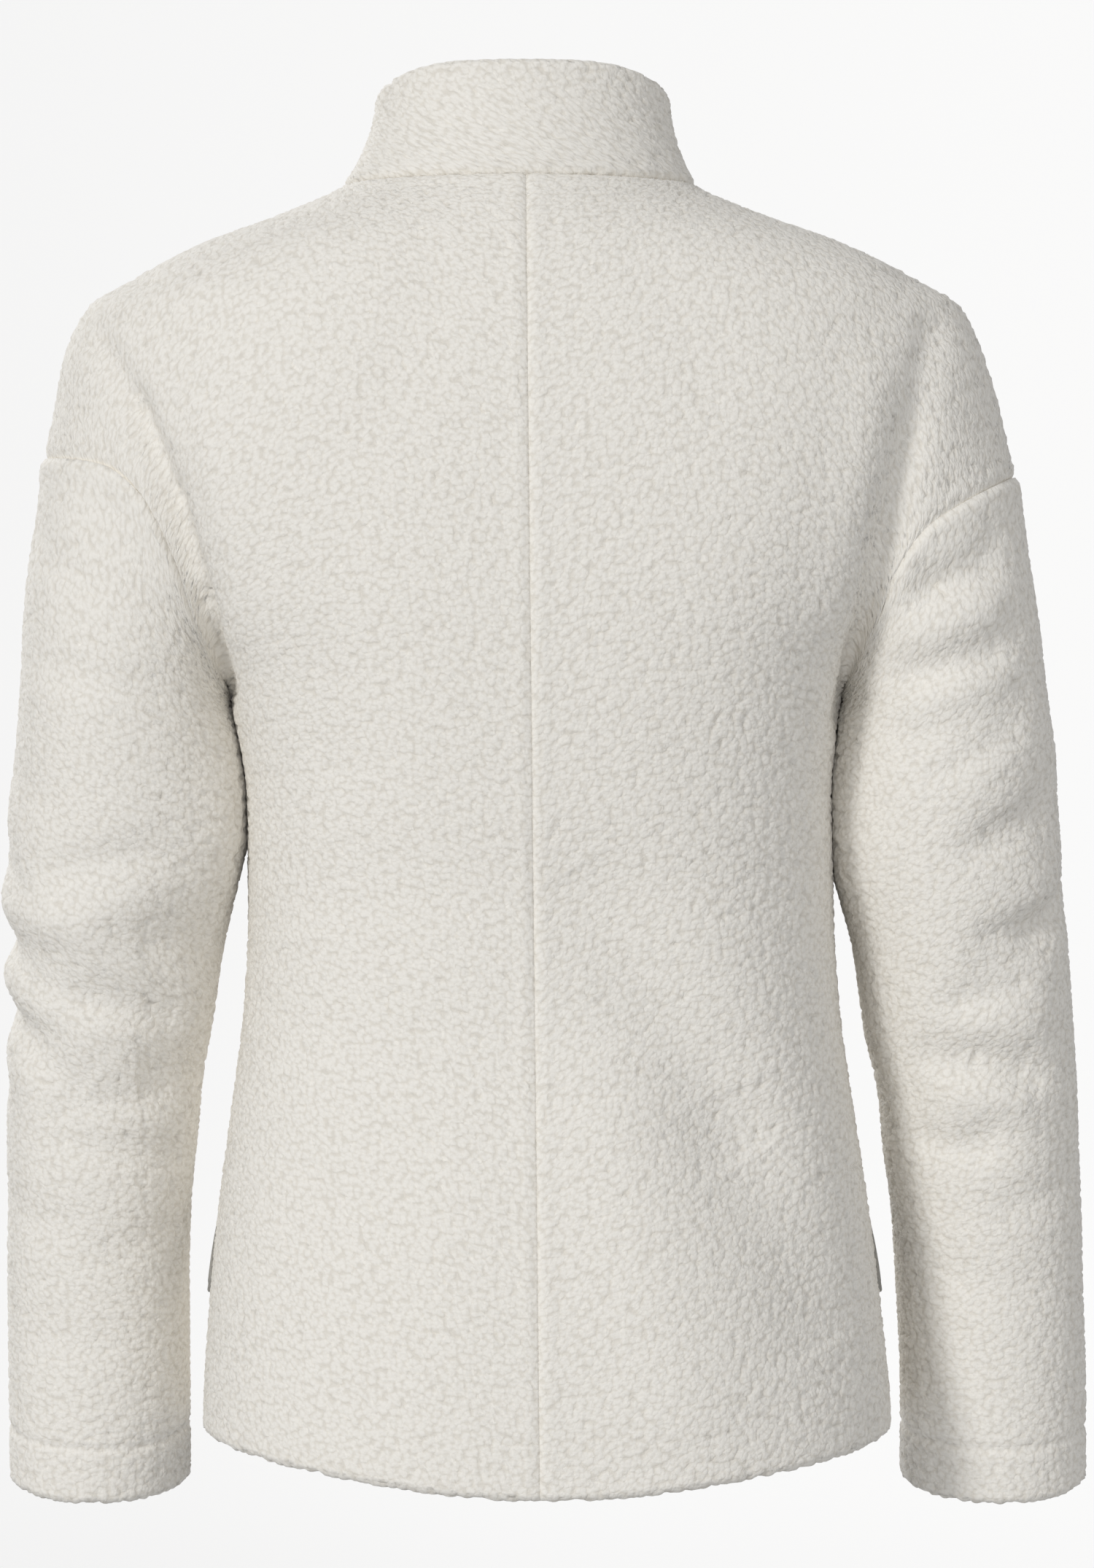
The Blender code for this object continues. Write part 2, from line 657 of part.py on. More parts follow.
def relaxed(grid, distance, rounds):
    """Inner grid points evened out while they stay on the surface."""
    for _ in range(rounds):
        middle = 0.25 * (grid[:-2, 1:-1] + grid[2:, 1:-1] + grid[1:-1, :-2] + grid[1:-1, 2:])
        shape = middle.shape
        moved = settle(middle.reshape(-1, 3), distance, 1)
        grid[1:-1, 1:-1] = moved.reshape(shape)
    shape = grid[1:-1, 1:-1].shape
    moved = settle(grid[1:-1, 1:-1].reshape(-1, 3).copy(), distance, FINAL_ROUNDS)
    grid[1:-1, 1:-1] = moved.reshape(shape)
    return grid


def panel_grid(hand, face):
    """Outer surface of one back or front panel: rows from hem up, columns outward."""
    offset = 0.0 if face > 0 else ZIP_OPENING_HALF
    hem = hem_line(hand, face, offset)[::-1]
    neck = neck_line(hand, face, offset)[::-1]
    side = evened(side_line(hand), SIDE_ROWS)
    hole = evened(armhole_line(hand, face), ARMHOLE_ROWS)
    right = np.concatenate([side, hole[1:]])
    top = np.concatenate(
        [evened(neck, NECK_COLUMNS), evened(shoulder_line(hand), SHOULDER_COLUMNS)[1:]]
    )
    bottom = evened(hem, NECK_COLUMNS + SHOULDER_COLUMNS)
    centre = centre_line(hand, face, offset, hem[0], neck[0])
    cut = int(np.argmin(np.abs(centre[:, 2] - UNDERARM_HEIGHT + CENTRE_CUT_DROP)))
    left = np.concatenate(
        [evened(centre[: cut + 1], SIDE_ROWS), evened(centre[cut:], ARMHOLE_ROWS)[1:]]
    )
    left[-1] = top[0]
    left[0] = bottom[0]
    top[-1] = right[-1]
    bottom[-1] = right[0]
    grid = spanned(left, right, bottom, top)
    return relaxed(grid, lambda p: panel_distance(p, hand), RELAX_ROUNDS)


def cuff_ring(hand, count):
    """Lower edge of a sleeve, starting at the inner side and going round the back."""
    turn = math.pi - np.linspace(0.0, 2.0 * math.pi, count, endpoint=False)
    height = CUFF_BACK_HEIGHT + CUFF_FRONT_RISE * (0.5 - 0.5 * np.sin(turn))
    outer = arm_value(hand, "outer", height)
    inner = arm_value(hand, "inner", height)
    middle = arm_value(hand, "middle", height)
    starts = np.stack([0.5 * (outer + inner) * hand, middle, height], axis=1)
    aim = np.stack([np.cos(turn) * hand, np.sin(turn), np.zeros(count)], axis=1)
    return first_exit(starts, aim, ARM_REACH, lambda p: sleeve_distance(p, hand))


def sleeve_grid(hand):
    """Outer surface of a sleeve: rows from the armhole down, columns round the arm."""
    back = evened(armhole_line(hand, 1), ARMHOLE_ROWS)
    front = evened(armhole_line(hand, -1), ARMHOLE_ROWS)
    ring = np.concatenate([back, front[::-1][1:-1]])
    count = len(ring)
    cuff = cuff_ring(hand, count)
    rows = []
    for step in range(SLEEVE_ROWS + 1):
        part = step / SLEEVE_ROWS
        rows.append(ring * (1.0 - part) + cuff * part)
    grid = np.array(rows)
    height = grid[:, :, 2]
    middle_x = 0.5 * (arm_value(hand, "outer", height) + arm_value(hand, "inner", height)) * hand
    middle_y = arm_value(hand, "middle", height)
    angle_top = np.arctan2(ring[:, 1] - middle_y[0], (ring[:, 0] - middle_x[0]) * hand)
    angle_low = math.pi - np.linspace(0.0, 2.0 * math.pi, count, endpoint=False)
    angle_top = angle_low + (angle_top - angle_low + math.pi) % (2.0 * math.pi) - math.pi
    for step in range(1, SLEEVE_ROWS):
        part = smooth_step(step / (ANGLE_TURN_SHARE * SLEEVE_ROWS))
        turn = angle_top * (1.0 - part) + angle_low * part
        level = height[step]
        starts = np.stack([middle_x[step], middle_y[step], level], axis=1)
        aim = np.stack([np.cos(turn) * hand, np.sin(turn), np.zeros(count)], axis=1)
        grid[step] = first_exit(starts, aim, ARM_REACH, lambda p: arm_distance(p, hand))
    distance = lambda p: sleeve_distance(p, hand)
    for _ in range(RELAX_ROUNDS):
        sides = np.roll(grid, 1, axis=1) + np.roll(grid, -1, axis=1)
        middle = 0.25 * (grid[:-2] + grid[2:] + sides[1:-1])
        middle[0, :, 2] = np.minimum(middle[0, :, 2], grid[0, :, 2] - FIRST_ROW_DROP)
        moved = settle(middle.reshape(-1, 3), distance, 1)
        grid[1:-1] = moved.reshape(middle.shape)
    moved = settle(grid[1:-1].reshape(-1, 3).copy(), distance, FINAL_ROUNDS)
    grid[1:-1] = moved.reshape(grid[1:-1].shape)
    return grid


def edge_shift(edge, near, normals, closed):
    """Unit directions from an edge into its grid, square to the edge and the normals."""
    if closed:
        run = np.roll(edge, -1, axis=0) - np.roll(edge, 1, axis=0)
    else:
        run = np.gradient(edge, axis=0)
    side = np.cross(normals, run)
    side /= np.maximum(np.linalg.norm(side, axis=1, keepdims=True), 1e-9)
    return side * np.sign((side * (near - edge)).sum(axis=1, keepdims=True))


def drawn_in(grid, normals, gap, sides, closed=False):
    """Edge points pulled inside their grid so that neighbours stand a gap apart."""
    moved = grid.copy()
    picks = {
        "first_row": (np.s_[0], np.s_[2]),
        "last_row": (np.s_[-1], np.s_[-3]),
        "first_column": (np.s_[:, 0], np.s_[:, 2]),
        "last_column": (np.s_[:, -1], np.s_[:, -3]),
    }
    for side in sides:
        edge, near = picks[side]
        shift = edge_shift(grid[edge], grid[near], normals[edge], closed)
        moved[edge] = moved[edge] + shift * gap * 0.5
    return moved


def grid_normals(grid, distance):
    """Outward directions at a grid's points."""
    return outward(grid.reshape(-1, 3), distance).reshape(grid.shape)


# ------------------------------------------------------------------ solids
def remove_startup_objects():
    """Clear what the program opens with."""
    for thing in list(bpy.data.objects):
        bpy.data.objects.remove(thing, do_unlink=True)


def make_material(name, colour, roughness, metallic):
    """A plain Principled material."""
    material = bpy.data.materials.new(name)
    material.use_nodes = True
    shader = material.node_tree.nodes["Principled BSDF"]
    shader.inputs["Base Color"].default_value = (*colour, 1.0)
    shader.inputs["Roughness"].default_value = roughness
    shader.inputs["Metallic"].default_value = metallic
    return material


def make_object(name, points, faces, material):
    """A named solid from points and faces, its faces turned outward."""
    mesh = bpy.data.meshes.new(name)
    mesh.from_pydata([tuple(float(v) for v in p) for p in points], [], faces)
    mesh.update()
    work = bmesh.new()
    work.from_mesh(mesh)
    bmesh.ops.recalc_face_normals(work, faces=work.faces)
    work.to_mesh(mesh)
    work.free()
    thing = bpy.data.objects.new(name, mesh)
    bpy.data.collections["fleece_jacket"].objects.link(thing)
    mesh.materials.append(material)
    return thing


def walled(name, outer, inner, around, material):
    """A closed wall between two grids; around is true where the columns close up."""
    rows, cols = outer.shape[:2]
    points = np.concatenate([outer.reshape(-1, 3), inner.reshape(-1, 3)])
    count = rows * cols
    faces = []
    span = cols if around else cols - 1
    for row in range(rows - 1):
        for col in range(span):
            right = (col + 1) % cols
            a, b = row * cols + col, row * cols + right
            c, d = (row + 1) * cols + right, (row + 1) * cols + col
            faces.append((a, b, c, d))
            faces.append((count + d, count + c, count + b, count + a))
    for col in range(span):
        right = (col + 1) % cols
        a, b = col, right
        faces.append((b, a, count + a, count + b))
        a, b = (rows - 1) * cols + col, (rows - 1) * cols + right
        faces.append((a, b, count + b, count + a))
    if not around:
        for row in range(rows - 1):
            a, b = row * cols, (row + 1) * cols
            faces.append((a, b, count + b, count + a))
            a, b = a + cols - 1, b + cols - 1
            faces.append((b, a, count + a, count + b))
    return make_object(name, points, faces, material)


def moved_in(grid, distance, amount):
    """A grid moved along its outward directions; amount below zero goes outward."""
    return grid - grid_normals(grid, distance) * amount


def leaned(edge, near, points):
    """Near the underarm an edge's wall turns with its own piece, away from the other."""
    share = smooth_step((UNDERARM_LEAN_HEIGHT - points[:, 2]) / UNDERARM_LEAN_LENGTH)[:, None]
    near = near.copy()
    near[:, 1] *= np.clip(np.abs(points[:, 1] - MIDDLE_Y) / UNDERARM_LEAN_DEPTH, 0.0, 1.0)
    mixed = edge + near * share
    return mixed / np.linalg.norm(mixed, axis=1, keepdims=True)


def build_panel(name, hand, face, material):
    """One back or front panel."""
    grid = panel_grid(hand, face)
    normals = grid_normals(grid, lambda p: panel_distance(p, hand))
    hole = np.s_[SIDE_ROWS:, -1]
    normals[hole] = outward(grid[hole], lambda p: joined_distance(p, hand))
    normals[hole] = leaned(normals[hole], normals[SIDE_ROWS:, -2], grid[hole])
    sides = ["first_column", "last_column", "last_row"]
    outer = drawn_in(grid, normals, SEAM_GAP, sides)
    return walled(name, outer, outer - normals * FLEECE_WALL, False, material)


def build_sleeve(name, hand, material):
    """One sleeve."""
    grid = sleeve_grid(hand)
    normals = grid_normals(grid, lambda p: sleeve_distance(p, hand))
    normals[0] = outward(grid[0], lambda p: joined_distance(p, hand))
    normals[0] = leaned(normals[0], normals[1], grid[0])
    outer = drawn_in(grid, normals, SEAM_GAP, ["first_row"], True)
    outer[0] += normals[0] * sleeve_step(grid[0], hand)[:, None]
    return walled(name, outer, outer - normals * FLEECE_WALL, True, material)


def collar_line(hand):
    """The neck edge of one half, from the back centre round to the zip."""
    back = neck_line(hand, 1, 0.0)[::-1]
    front = neck_line(hand, -1, ZIP_OPENING_HALF)
    return evened(np.concatenate([back, front[1:]]), COLLAR_COLUMNS)


def collar_grid():
    """Outer surface of the collar: rows up, columns from the right zip edge round."""
    left = collar_line(1)
    right = collar_line(-1)
    base = np.concatenate([right[::-1], left[1:]])
    base[:, 2] += COLLAR_LIFT
    turn = np.arctan2(base[:, 1] - MIDDLE_Y, base[:, 0] - float(torso_value("centre", 0.0)))
    deep = np.where(
        np.sin(turn) > 0.0, COLLAR_TOP_BACK_Y - MIDDLE_Y, MIDDLE_Y - COLLAR_TOP_FRONT_Y
    )
    reach = 1.0 / np.sqrt(
        (np.cos(turn) / COLLAR_TOP_HALF_WIDTH) ** 2 + (np.sin(turn) / deep) ** 2
    )
    forward = smooth_step(0.5 - 0.5 * np.sin(turn) * COLLAR_SLANT)
    top = np.stack(
        [
            COLLAR_TOP_CENTRE + reach * np.cos(turn),
            MIDDLE_Y + reach * np.sin(turn),
            COLLAR_TOP_BACK + (COLLAR_TOP_FRONT - COLLAR_TOP_BACK) * forward,
        ],
        axis=1,
    )
    zip_x = float(back_seam(COLLAR_ZIP_HEIGHT))
    top[0, 0] = zip_x - ZIP_OPENING_HALF
    top[-1, 0] = zip_x + ZIP_OPENING_HALF
    rows = []
    for step in range(COLLAR_ROWS + 1):
        part = step / COLLAR_ROWS
        bend = 1.0 - (1.0 - part) ** COLLAR_FLARE
        row = base + (top - base) * bend
        row[:, 2] = base[:, 2] + (top[:, 2] - base[:, 2]) * part
        rows.append(row)
    return np.array(rows)


def grid_outward(grid):
    """Outward directions of an open grid from its own points."""
    along = np.gradient(grid, axis=1)
    upward = np.gradient(grid, axis=0)
    normal = np.cross(along, upward)
    normal[0, :, 2] = 0.0
    normal /= np.linalg.norm(normal, axis=-1, keepdims=True)
    middle = grid.reshape(-1, 3).mean(axis=0)
    if ((grid - middle) * normal).sum() < 0.0:
        normal = -normal
    return normal


def build_collar(name, material):
    """The stand collar, open at the zip."""
    grid = collar_grid()
    inner = grid - grid_outward(grid) * COLLAR_WALL
    return walled(name, grid, inner, False, material)


def zip_path():
    """Middle of the zip on the outer surface, from the hem to the collar's top."""
    hem = hem_line(1, -1, ZIP_OPENING_HALF)[-1]
    neck = neck_line(1, -1, ZIP_OPENING_HALF)[-1]
    body = centre_line(1, -1, ZIP_OPENING_HALF, hem, neck)
    collar = collar_grid()[:, -1]
    line = np.concatenate([body[:-2], collar])
    line[:, 0] = back_seam(line[:, 2])
    fine = evened(line, ZIP_LINE_POINTS)
    for _ in range(ZIP_EVEN_ROUNDS):
        fine[1:-1] = 0.25 * fine[:-2] + 0.5 * fine[1:-1] + 0.25 * fine[2:]
    steps = np.linalg.norm(np.diff(fine, axis=0), axis=1)
    lengths = np.concatenate([[0.0], np.cumsum(steps)])
    inside = (lengths > ZIP_BOTTOM_MARGIN) & (lengths < lengths[-1] - ZIP_TOP_MARGIN)
    return fine[inside], float(neck[2])


def path_frames(line):
    """Unit directions across, along and outward at each point of the zip's path."""
    along = np.gradient(line, axis=0)
    along /= np.linalg.norm(along, axis=1, keepdims=True)
    across = np.tile(np.array([1.0, 0.0, 0.0]), (len(line), 1))
    across -= along * (across * along).sum(axis=1, keepdims=True)
    across /= np.linalg.norm(across, axis=1, keepdims=True)
    out = np.cross(across, along)
    out *= np.sign(-out[:, 1:2])
    return across, along, out


def build_zip_half(name, hand, material):
    """One tape with its row of teeth, as one strip with a bead along its inner edge."""
    fine, neck_height = zip_path()
    line = evened(fine, ZIP_ROWS)
    across, _, out = path_frames(line)
    in_collar = smooth_step((line[:, 2] - neck_height + COLLAR_TURN_START) / COLLAR_TURN_LENGTH)
    top = -(FLEECE_WALL + TAPE_CLEARANCE)
    top = top - (COLLAR_WALL - FLEECE_WALL + COLLAR_EXTRA_CLEARANCE) * in_collar
    chain = CHAIN_THICKNESS - FLEECE_WALL - SEAM_GAP
    points = []
    for index, centre in enumerate(line):
        tape_top = top[index]
        tape_low = tape_top - TAPE_THICKNESS
        section = (
            (ZIP_CENTRE_GAP, chain),
            (CHAIN_HALF_WIDTH, chain),
            (CHAIN_HALF_WIDTH, tape_top),
            (TAPE_HALF_WIDTH, tape_top),
            (TAPE_HALF_WIDTH, tape_low),
            (ZIP_CENTRE_GAP, tape_low),
        )
        for side, height in section:
            points.append(centre + across[index] * side * hand + out[index] * height)
    faces = []
    corners = len(section)
    for row in range(ZIP_ROWS):
        for corner in range(corners):
            follow = (corner + 1) % corners
            a, b = row * corners + corner, row * corners + follow
            faces.append((a, b, b + corners, a + corners))
    faces.append(tuple(range(corners)))
    faces.append(tuple(range(ZIP_ROWS * corners, (ZIP_ROWS + 1) * corners)))
    return make_object(name, points, faces, material)


def slider_frame():
    """Middle and directions of the zip slider."""
    fine, _ = zip_path()
    across, along, out = path_frames(fine)
    lengths = np.linalg.norm(fine - fine[-1], axis=1)
    index = int(np.argmin(np.abs(lengths - SLIDER_DROP)))
    return fine[index], across[index], along[index], out[index]


def outline_plate(name, outline, window, low, high, origin, frame, material):
    """A plate from an outline with a window, both as (across, along) points."""
    middle, across, along, out = frame
    points = []
    for level in (low, high):
        for ring in (outline, window):
            for side, length in ring:
                spot = middle + across * side + along * length + out * level - origin
                points.append(spot)
    count = len(outline)
    faces = []
    for index in range(count):
        follow = (index + 1) % count
        outer_a, outer_b = index, follow
        inner_a, inner_b = count + index, count + follow
        up = 2 * count
        faces.append((outer_a, outer_b, inner_b, inner_a))
        faces.append((outer_a + up, inner_a + up, inner_b + up, outer_b + up))
        faces.append((outer_a, outer_a + up, outer_b + up, outer_b))
        faces.append((inner_a, inner_b, inner_b + up, inner_a + up))
    thing = make_object(name, points, faces, material)
    thing.location = tuple(float(v) for v in origin)
    return thing


def build_slider(material):
    """Slider body with the bridge that carries the pull tab."""
    frame = slider_frame()
    middle = frame[0]
    width, length = SLIDER_HALF_WIDTH, SLIDER_HALF_LENGTH
    thick = BRIDGE_HALF_WIDTH
    points = []
    faces = []
    profile = (
        (-length, SLIDER_BACK),
        (length, SLIDER_BACK),
        (length, SLIDER_FACE),
        (BRIDGE_POST_OUT, SLIDER_FACE),
        (BRIDGE_POST_IN, SLIDER_FACE),
        (-BRIDGE_POST_IN, SLIDER_FACE),
        (-BRIDGE_POST_OUT, SLIDER_FACE),
        (-length, SLIDER_FACE),
    )
    arch = (
        (BRIDGE_POST_OUT, BRIDGE_TOP),
        (-BRIDGE_POST_OUT, BRIDGE_TOP),
        (BRIDGE_POST_IN, BRIDGE_UNDERSIDE),
        (-BRIDGE_POST_IN, BRIDGE_UNDERSIDE),
    )
    for side in (-width, -thick, thick, width):
        for along, out in profile:
            points.append(frame[1] * side + frame[2] * along + frame[3] * out)
    for side in (-thick, thick):
        for along, out in arch:
            points.append(frame[1] * side + frame[2] * along + frame[3] * out)
    count = len(profile)
    top_out, top_in, low_in, low_out = 3, 4, 5, 6
    for strip in range(3):
        low, high = strip * count, (strip + 1) * count
        for corner in range(count):
            follow = (corner + 1) % count
            under_a_post = corner in (top_out, low_in)
            if strip == 1 and under_a_post:
                continue
            faces.append((low + corner, low + follow, high + follow, high + corner))
    near, far = count, 2 * count
    faces.append(tuple(range(count)))
    faces.append(tuple(range(3 * count, 4 * count)))
    left = 4 * count
    right = left + len(arch)
    for base, row in ((left, near), (right, far)):
        faces.append((row + top_out, base, base + 2, row + top_in))
        faces.append((base, base + 1, base + 3, base + 2))
        faces.append((base + 1, row + low_out, row + low_in, base + 3))
    faces.append((near + top_out, left, right, far + top_out))
    faces.append((left, left + 1, right + 1, right))
    faces.append((left + 1, near + low_out, far + low_out, right + 1))
    faces.append((near + top_in, far + top_in, right + 2, left + 2))
    faces.append((left + 2, right + 2, right + 3, left + 3))
    faces.append((left + 3, right + 3, far + low_in, near + low_in))
    thing = make_object("zip_slider", points, faces, material)
    thing.location = tuple(float(v) for v in middle)
    return thing


def mirrored(half):
    """The other half of an outline, so that both halves together go once round."""
    return tuple((-across, along) for across, along in reversed(half))


def build_pull_tab(material):
    """Pull tab hanging from the slider's bridge; its origin is on the hinge line."""
    frame = slider_frame()
    middle, across, along, out = frame
    hinge = middle + out * TAB_CENTRE_OUT
    low = TAB_CENTRE_OUT - 0.5 * TAB_THICKNESS
    high = TAB_CENTRE_OUT + 0.5 * TAB_THICKNESS
    width, bar, end = TAB_HALF_WIDTH, TAB_BAR_HALF, TAB_LENGTH
    top = width * TAB_TOP_SHARE
    shoulder = width * TAB_SHOULDER_SHARE
    tip = width * TAB_END_SHARE
    half_outline = (
        (top, bar),
        (shoulder, -0.25 * TAB_WINDOW_END),
        (shoulder, -TAB_WINDOW_END - TAB_SHOULDER_DROP),
        (width, -0.5 * end),
        (width, -end + TAB_END_CORNER),
        (tip, -end),
    )
    slot, far = TAB_WINDOW_HALF_WIDTH, TAB_WINDOW_END
    half_window = (
        (0.5 * slot, -bar),
        (slot, -bar - TAB_WINDOW_TOP_CORNER),
        (slot, -0.6 * far),
        (slot, -far + TAB_WINDOW_LOW_CORNER),
        (0.6 * slot, -far),
        (0.2 * slot, -far),
    )
    outline = half_outline + mirrored(half_outline)
    window = half_window + mirrored(half_window)
    return outline_plate("pull_tab", outline, window, low, high, hinge, frame, material)


def build_pocket_trim(name, hand, material):
    """Slanted hand-pocket trim on a front, its lower end at the side seam."""
    count = POCKET_ROWS + 1
    part = np.linspace(0.0, 1.0, count)
    turn = np.radians(POCKET_TOP_TURN + (POCKET_LOW_TURN - POCKET_TOP_TURN) * part)
    height = POCKET_TOP_HEIGHT + (POCKET_LOW_HEIGHT - POCKET_TOP_HEIGHT) * part
    starts = middle_points(height)
    aim = np.stack([np.cos(turn) * hand, -np.sin(turn), np.zeros(count)], axis=1)
    distance = lambda p: panel_distance(p, hand)
    line = evened(first_exit(starts, aim, BODY_REACH, distance), POCKET_ROWS)
    along = np.gradient(line, axis=0)
    along /= np.linalg.norm(along, axis=1, keepdims=True)
    side = np.cross(along, outward(line, distance))
    side /= np.linalg.norm(side, axis=1, keepdims=True)
    rows = []
    for shift in (-0.5, 0.0, 0.5):
        row = settle(line + side * shift * POCKET_TRIM_WIDTH, distance, FINAL_ROUNDS)
        rows.append(row)
    grid = np.array(rows)
    inner = moved_in(grid, distance, -POCKET_TRIM_CLEARANCE)
    outer = moved_in(grid, distance, -POCKET_TRIM_CLEARANCE - POCKET_TRIM_THICKNESS)
    return walled(name, outer, inner, False, material)


def main():
    """Build every piece."""
    remove_startup_objects()
    group = bpy.data.collections.new("fleece_jacket")
    bpy.context.scene.collection.children.link(group)
    fleece = make_material("natural_fleece", (0.83, 0.81, 0.77), 0.95, 0.0)
    tape = make_material("zip_tape", (0.70, 0.68, 0.64), 0.80, 0.0)
    metal = make_material("zip_hardware", (0.58, 0.57, 0.55), 0.40, 0.6)
    trim = make_material("pocket_trim", (0.40, 0.39, 0.36), 0.75, 0.0)
    build_panel("back_left", 1, 1, fleece)
    build_panel("back_right", -1, 1, fleece)
    build_panel("front_left", 1, -1, fleece)
    build_panel("front_right", -1, -1, fleece)
    build_sleeve("sleeve_left", 1, fleece)
    build_sleeve("sleeve_right", -1, fleece)
    build_collar("collar", fleece)
    build_zip_half("zip_left", 1, tape)
    build_zip_half("zip_right", -1, tape)
    build_slider(metal)
    build_pull_tab(metal)
    build_pocket_trim("pocket_trim_left", 1, trim)
    build_pocket_trim("pocket_trim_right", -1, trim)


main()
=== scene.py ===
"""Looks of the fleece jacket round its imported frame: curly-pile panels with seams,
folds, hems and a stand collar, a coil zip with slider and pull tab, pocket trims,
a pale studio and the photograph's camera.
"""
import math

import bmesh
import bpy
import numpy as np
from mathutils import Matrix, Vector


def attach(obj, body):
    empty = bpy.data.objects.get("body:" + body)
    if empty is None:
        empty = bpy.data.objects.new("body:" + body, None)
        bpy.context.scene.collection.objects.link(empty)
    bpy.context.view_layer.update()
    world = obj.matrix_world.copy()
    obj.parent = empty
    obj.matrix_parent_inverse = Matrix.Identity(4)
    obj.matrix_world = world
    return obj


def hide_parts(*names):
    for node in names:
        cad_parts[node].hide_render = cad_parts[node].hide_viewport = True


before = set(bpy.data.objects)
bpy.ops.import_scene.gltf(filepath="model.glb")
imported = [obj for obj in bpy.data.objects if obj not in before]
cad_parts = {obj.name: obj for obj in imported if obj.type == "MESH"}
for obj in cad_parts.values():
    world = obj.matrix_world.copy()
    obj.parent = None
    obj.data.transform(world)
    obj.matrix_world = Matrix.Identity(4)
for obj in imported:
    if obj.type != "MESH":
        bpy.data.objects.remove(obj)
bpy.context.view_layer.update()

# ------------------------------------------------------------------ driving sizes
FLEECE_WALL = 0.004
COLLAR_WALL = 0.005
SEAM_GAP = 0.0003
MIDDLE_Y = -0.005

UNDERARM_HEIGHT = -0.245
BLEND_WIDTH = 0.038
BLEND_RISE = 0.055

NECK_HEIGHT = 0.002
NECK_FRONT_DROP = 0.038
COLLAR_LIFT = 0.0012
COLLAR_TOP_BACK = 0.0585
COLLAR_TOP_FRONT = 0.0300
COLLAR_TOP_HALF_WIDTH = 0.0710
COLLAR_TOP_BACK_Y = 0.0520
COLLAR_TOP_FRONT_Y = -0.0690
COLLAR_TOP_CENTRE = 0.0055
COLLAR_FLARE = 1.8
COLLAR_SLANT = 1.1
COLLAR_ZIP_HEIGHT = 0.020

HEM_SIDE_HEIGHT = -0.606
HEM_BACK_DIP = 0.021
HEM_FRONT_RISE = 0.004

CUFF_BACK_HEIGHT = -0.645
CUFF_FRONT_RISE = 0.018
SEAM_STEP = 0.0022
SEAM_STEP_LENGTH = 0.022
STEP_FADE_HEIGHT = -0.225
STEP_FADE_LENGTH = 0.070

BACK_SEAM_TOP = 0.0036
BACK_SEAM_BOTTOM = -0.0032
BODY_LENGTH = 0.630

ZIP_OPENING_HALF = 0.0056
TAPE_HALF_WIDTH = 0.0150
TAPE_THICKNESS = 0.0010
CHAIN_THICKNESS = 0.0028
ZIP_CENTRE_GAP = 0.00015
TAPE_CLEARANCE = 0.0008
COLLAR_EXTRA_CLEARANCE = 0.0018
ZIP_TOP_MARGIN = 0.004
ZIP_BOTTOM_MARGIN = 0.003

POCKET_TOP_TURN = 50.0
POCKET_TOP_HEIGHT = -0.385
POCKET_LOW_HEIGHT = -0.537

# Folds: how they run out at their ends and round the sides of the body and the arms.
FOLD_END_SHARE = 0.45
FOLD_END_FADE = 0.8
FOLD_FACING_DEPTH = 0.040
FOLD_ARM_RADIUS = 0.050
ARM_TOP_STEEPNESS = 3.0

# Rays from inside the garment: how far they look, and how often they halve their step.
HALVINGS = 44
BODY_REACH = 0.25
SHOULDER_REACH = 0.30
NECK_REACH = 0.20
ARMHOLE_REACH = 0.14
ARM_REACH = 0.10
DROP_POINT_RANGE = (0.20, 0.26)
HEM_TURN = 100.0
NECK_TURN = 104.0
NECK_DIP_POWER = 1.5
LARGEST_MOVE = 0.012
LINE_POINTS = 240
LONG_LINE_POINTS = 300
ARMHOLE_POINTS = 400
ZIP_LINE_POINTS = 600
ZIP_EVEN_ROUNDS = 60

# Grid counts: columns from the centre line out, rows from the hem up.
NECK_COLUMNS = 5
SHOULDER_COLUMNS = 9
SIDE_ROWS = 16
ARMHOLE_ROWS = 11
SLEEVE_ROWS = 33
COLLAR_COLUMNS = 20
COLLAR_ROWS = 4
RELAX_ROUNDS = 60
FINAL_ROUNDS = 5
WALL_REACH = 0.003
FIRST_ROW_DROP = 0.007
CENTRE_CUT_DROP = 0.010
ANGLE_TURN_SHARE = 0.45
UNDERARM_LEAN_HEIGHT = -0.190
UNDERARM_LEAN_LENGTH = 0.030
UNDERARM_LEAN_DEPTH = 0.030

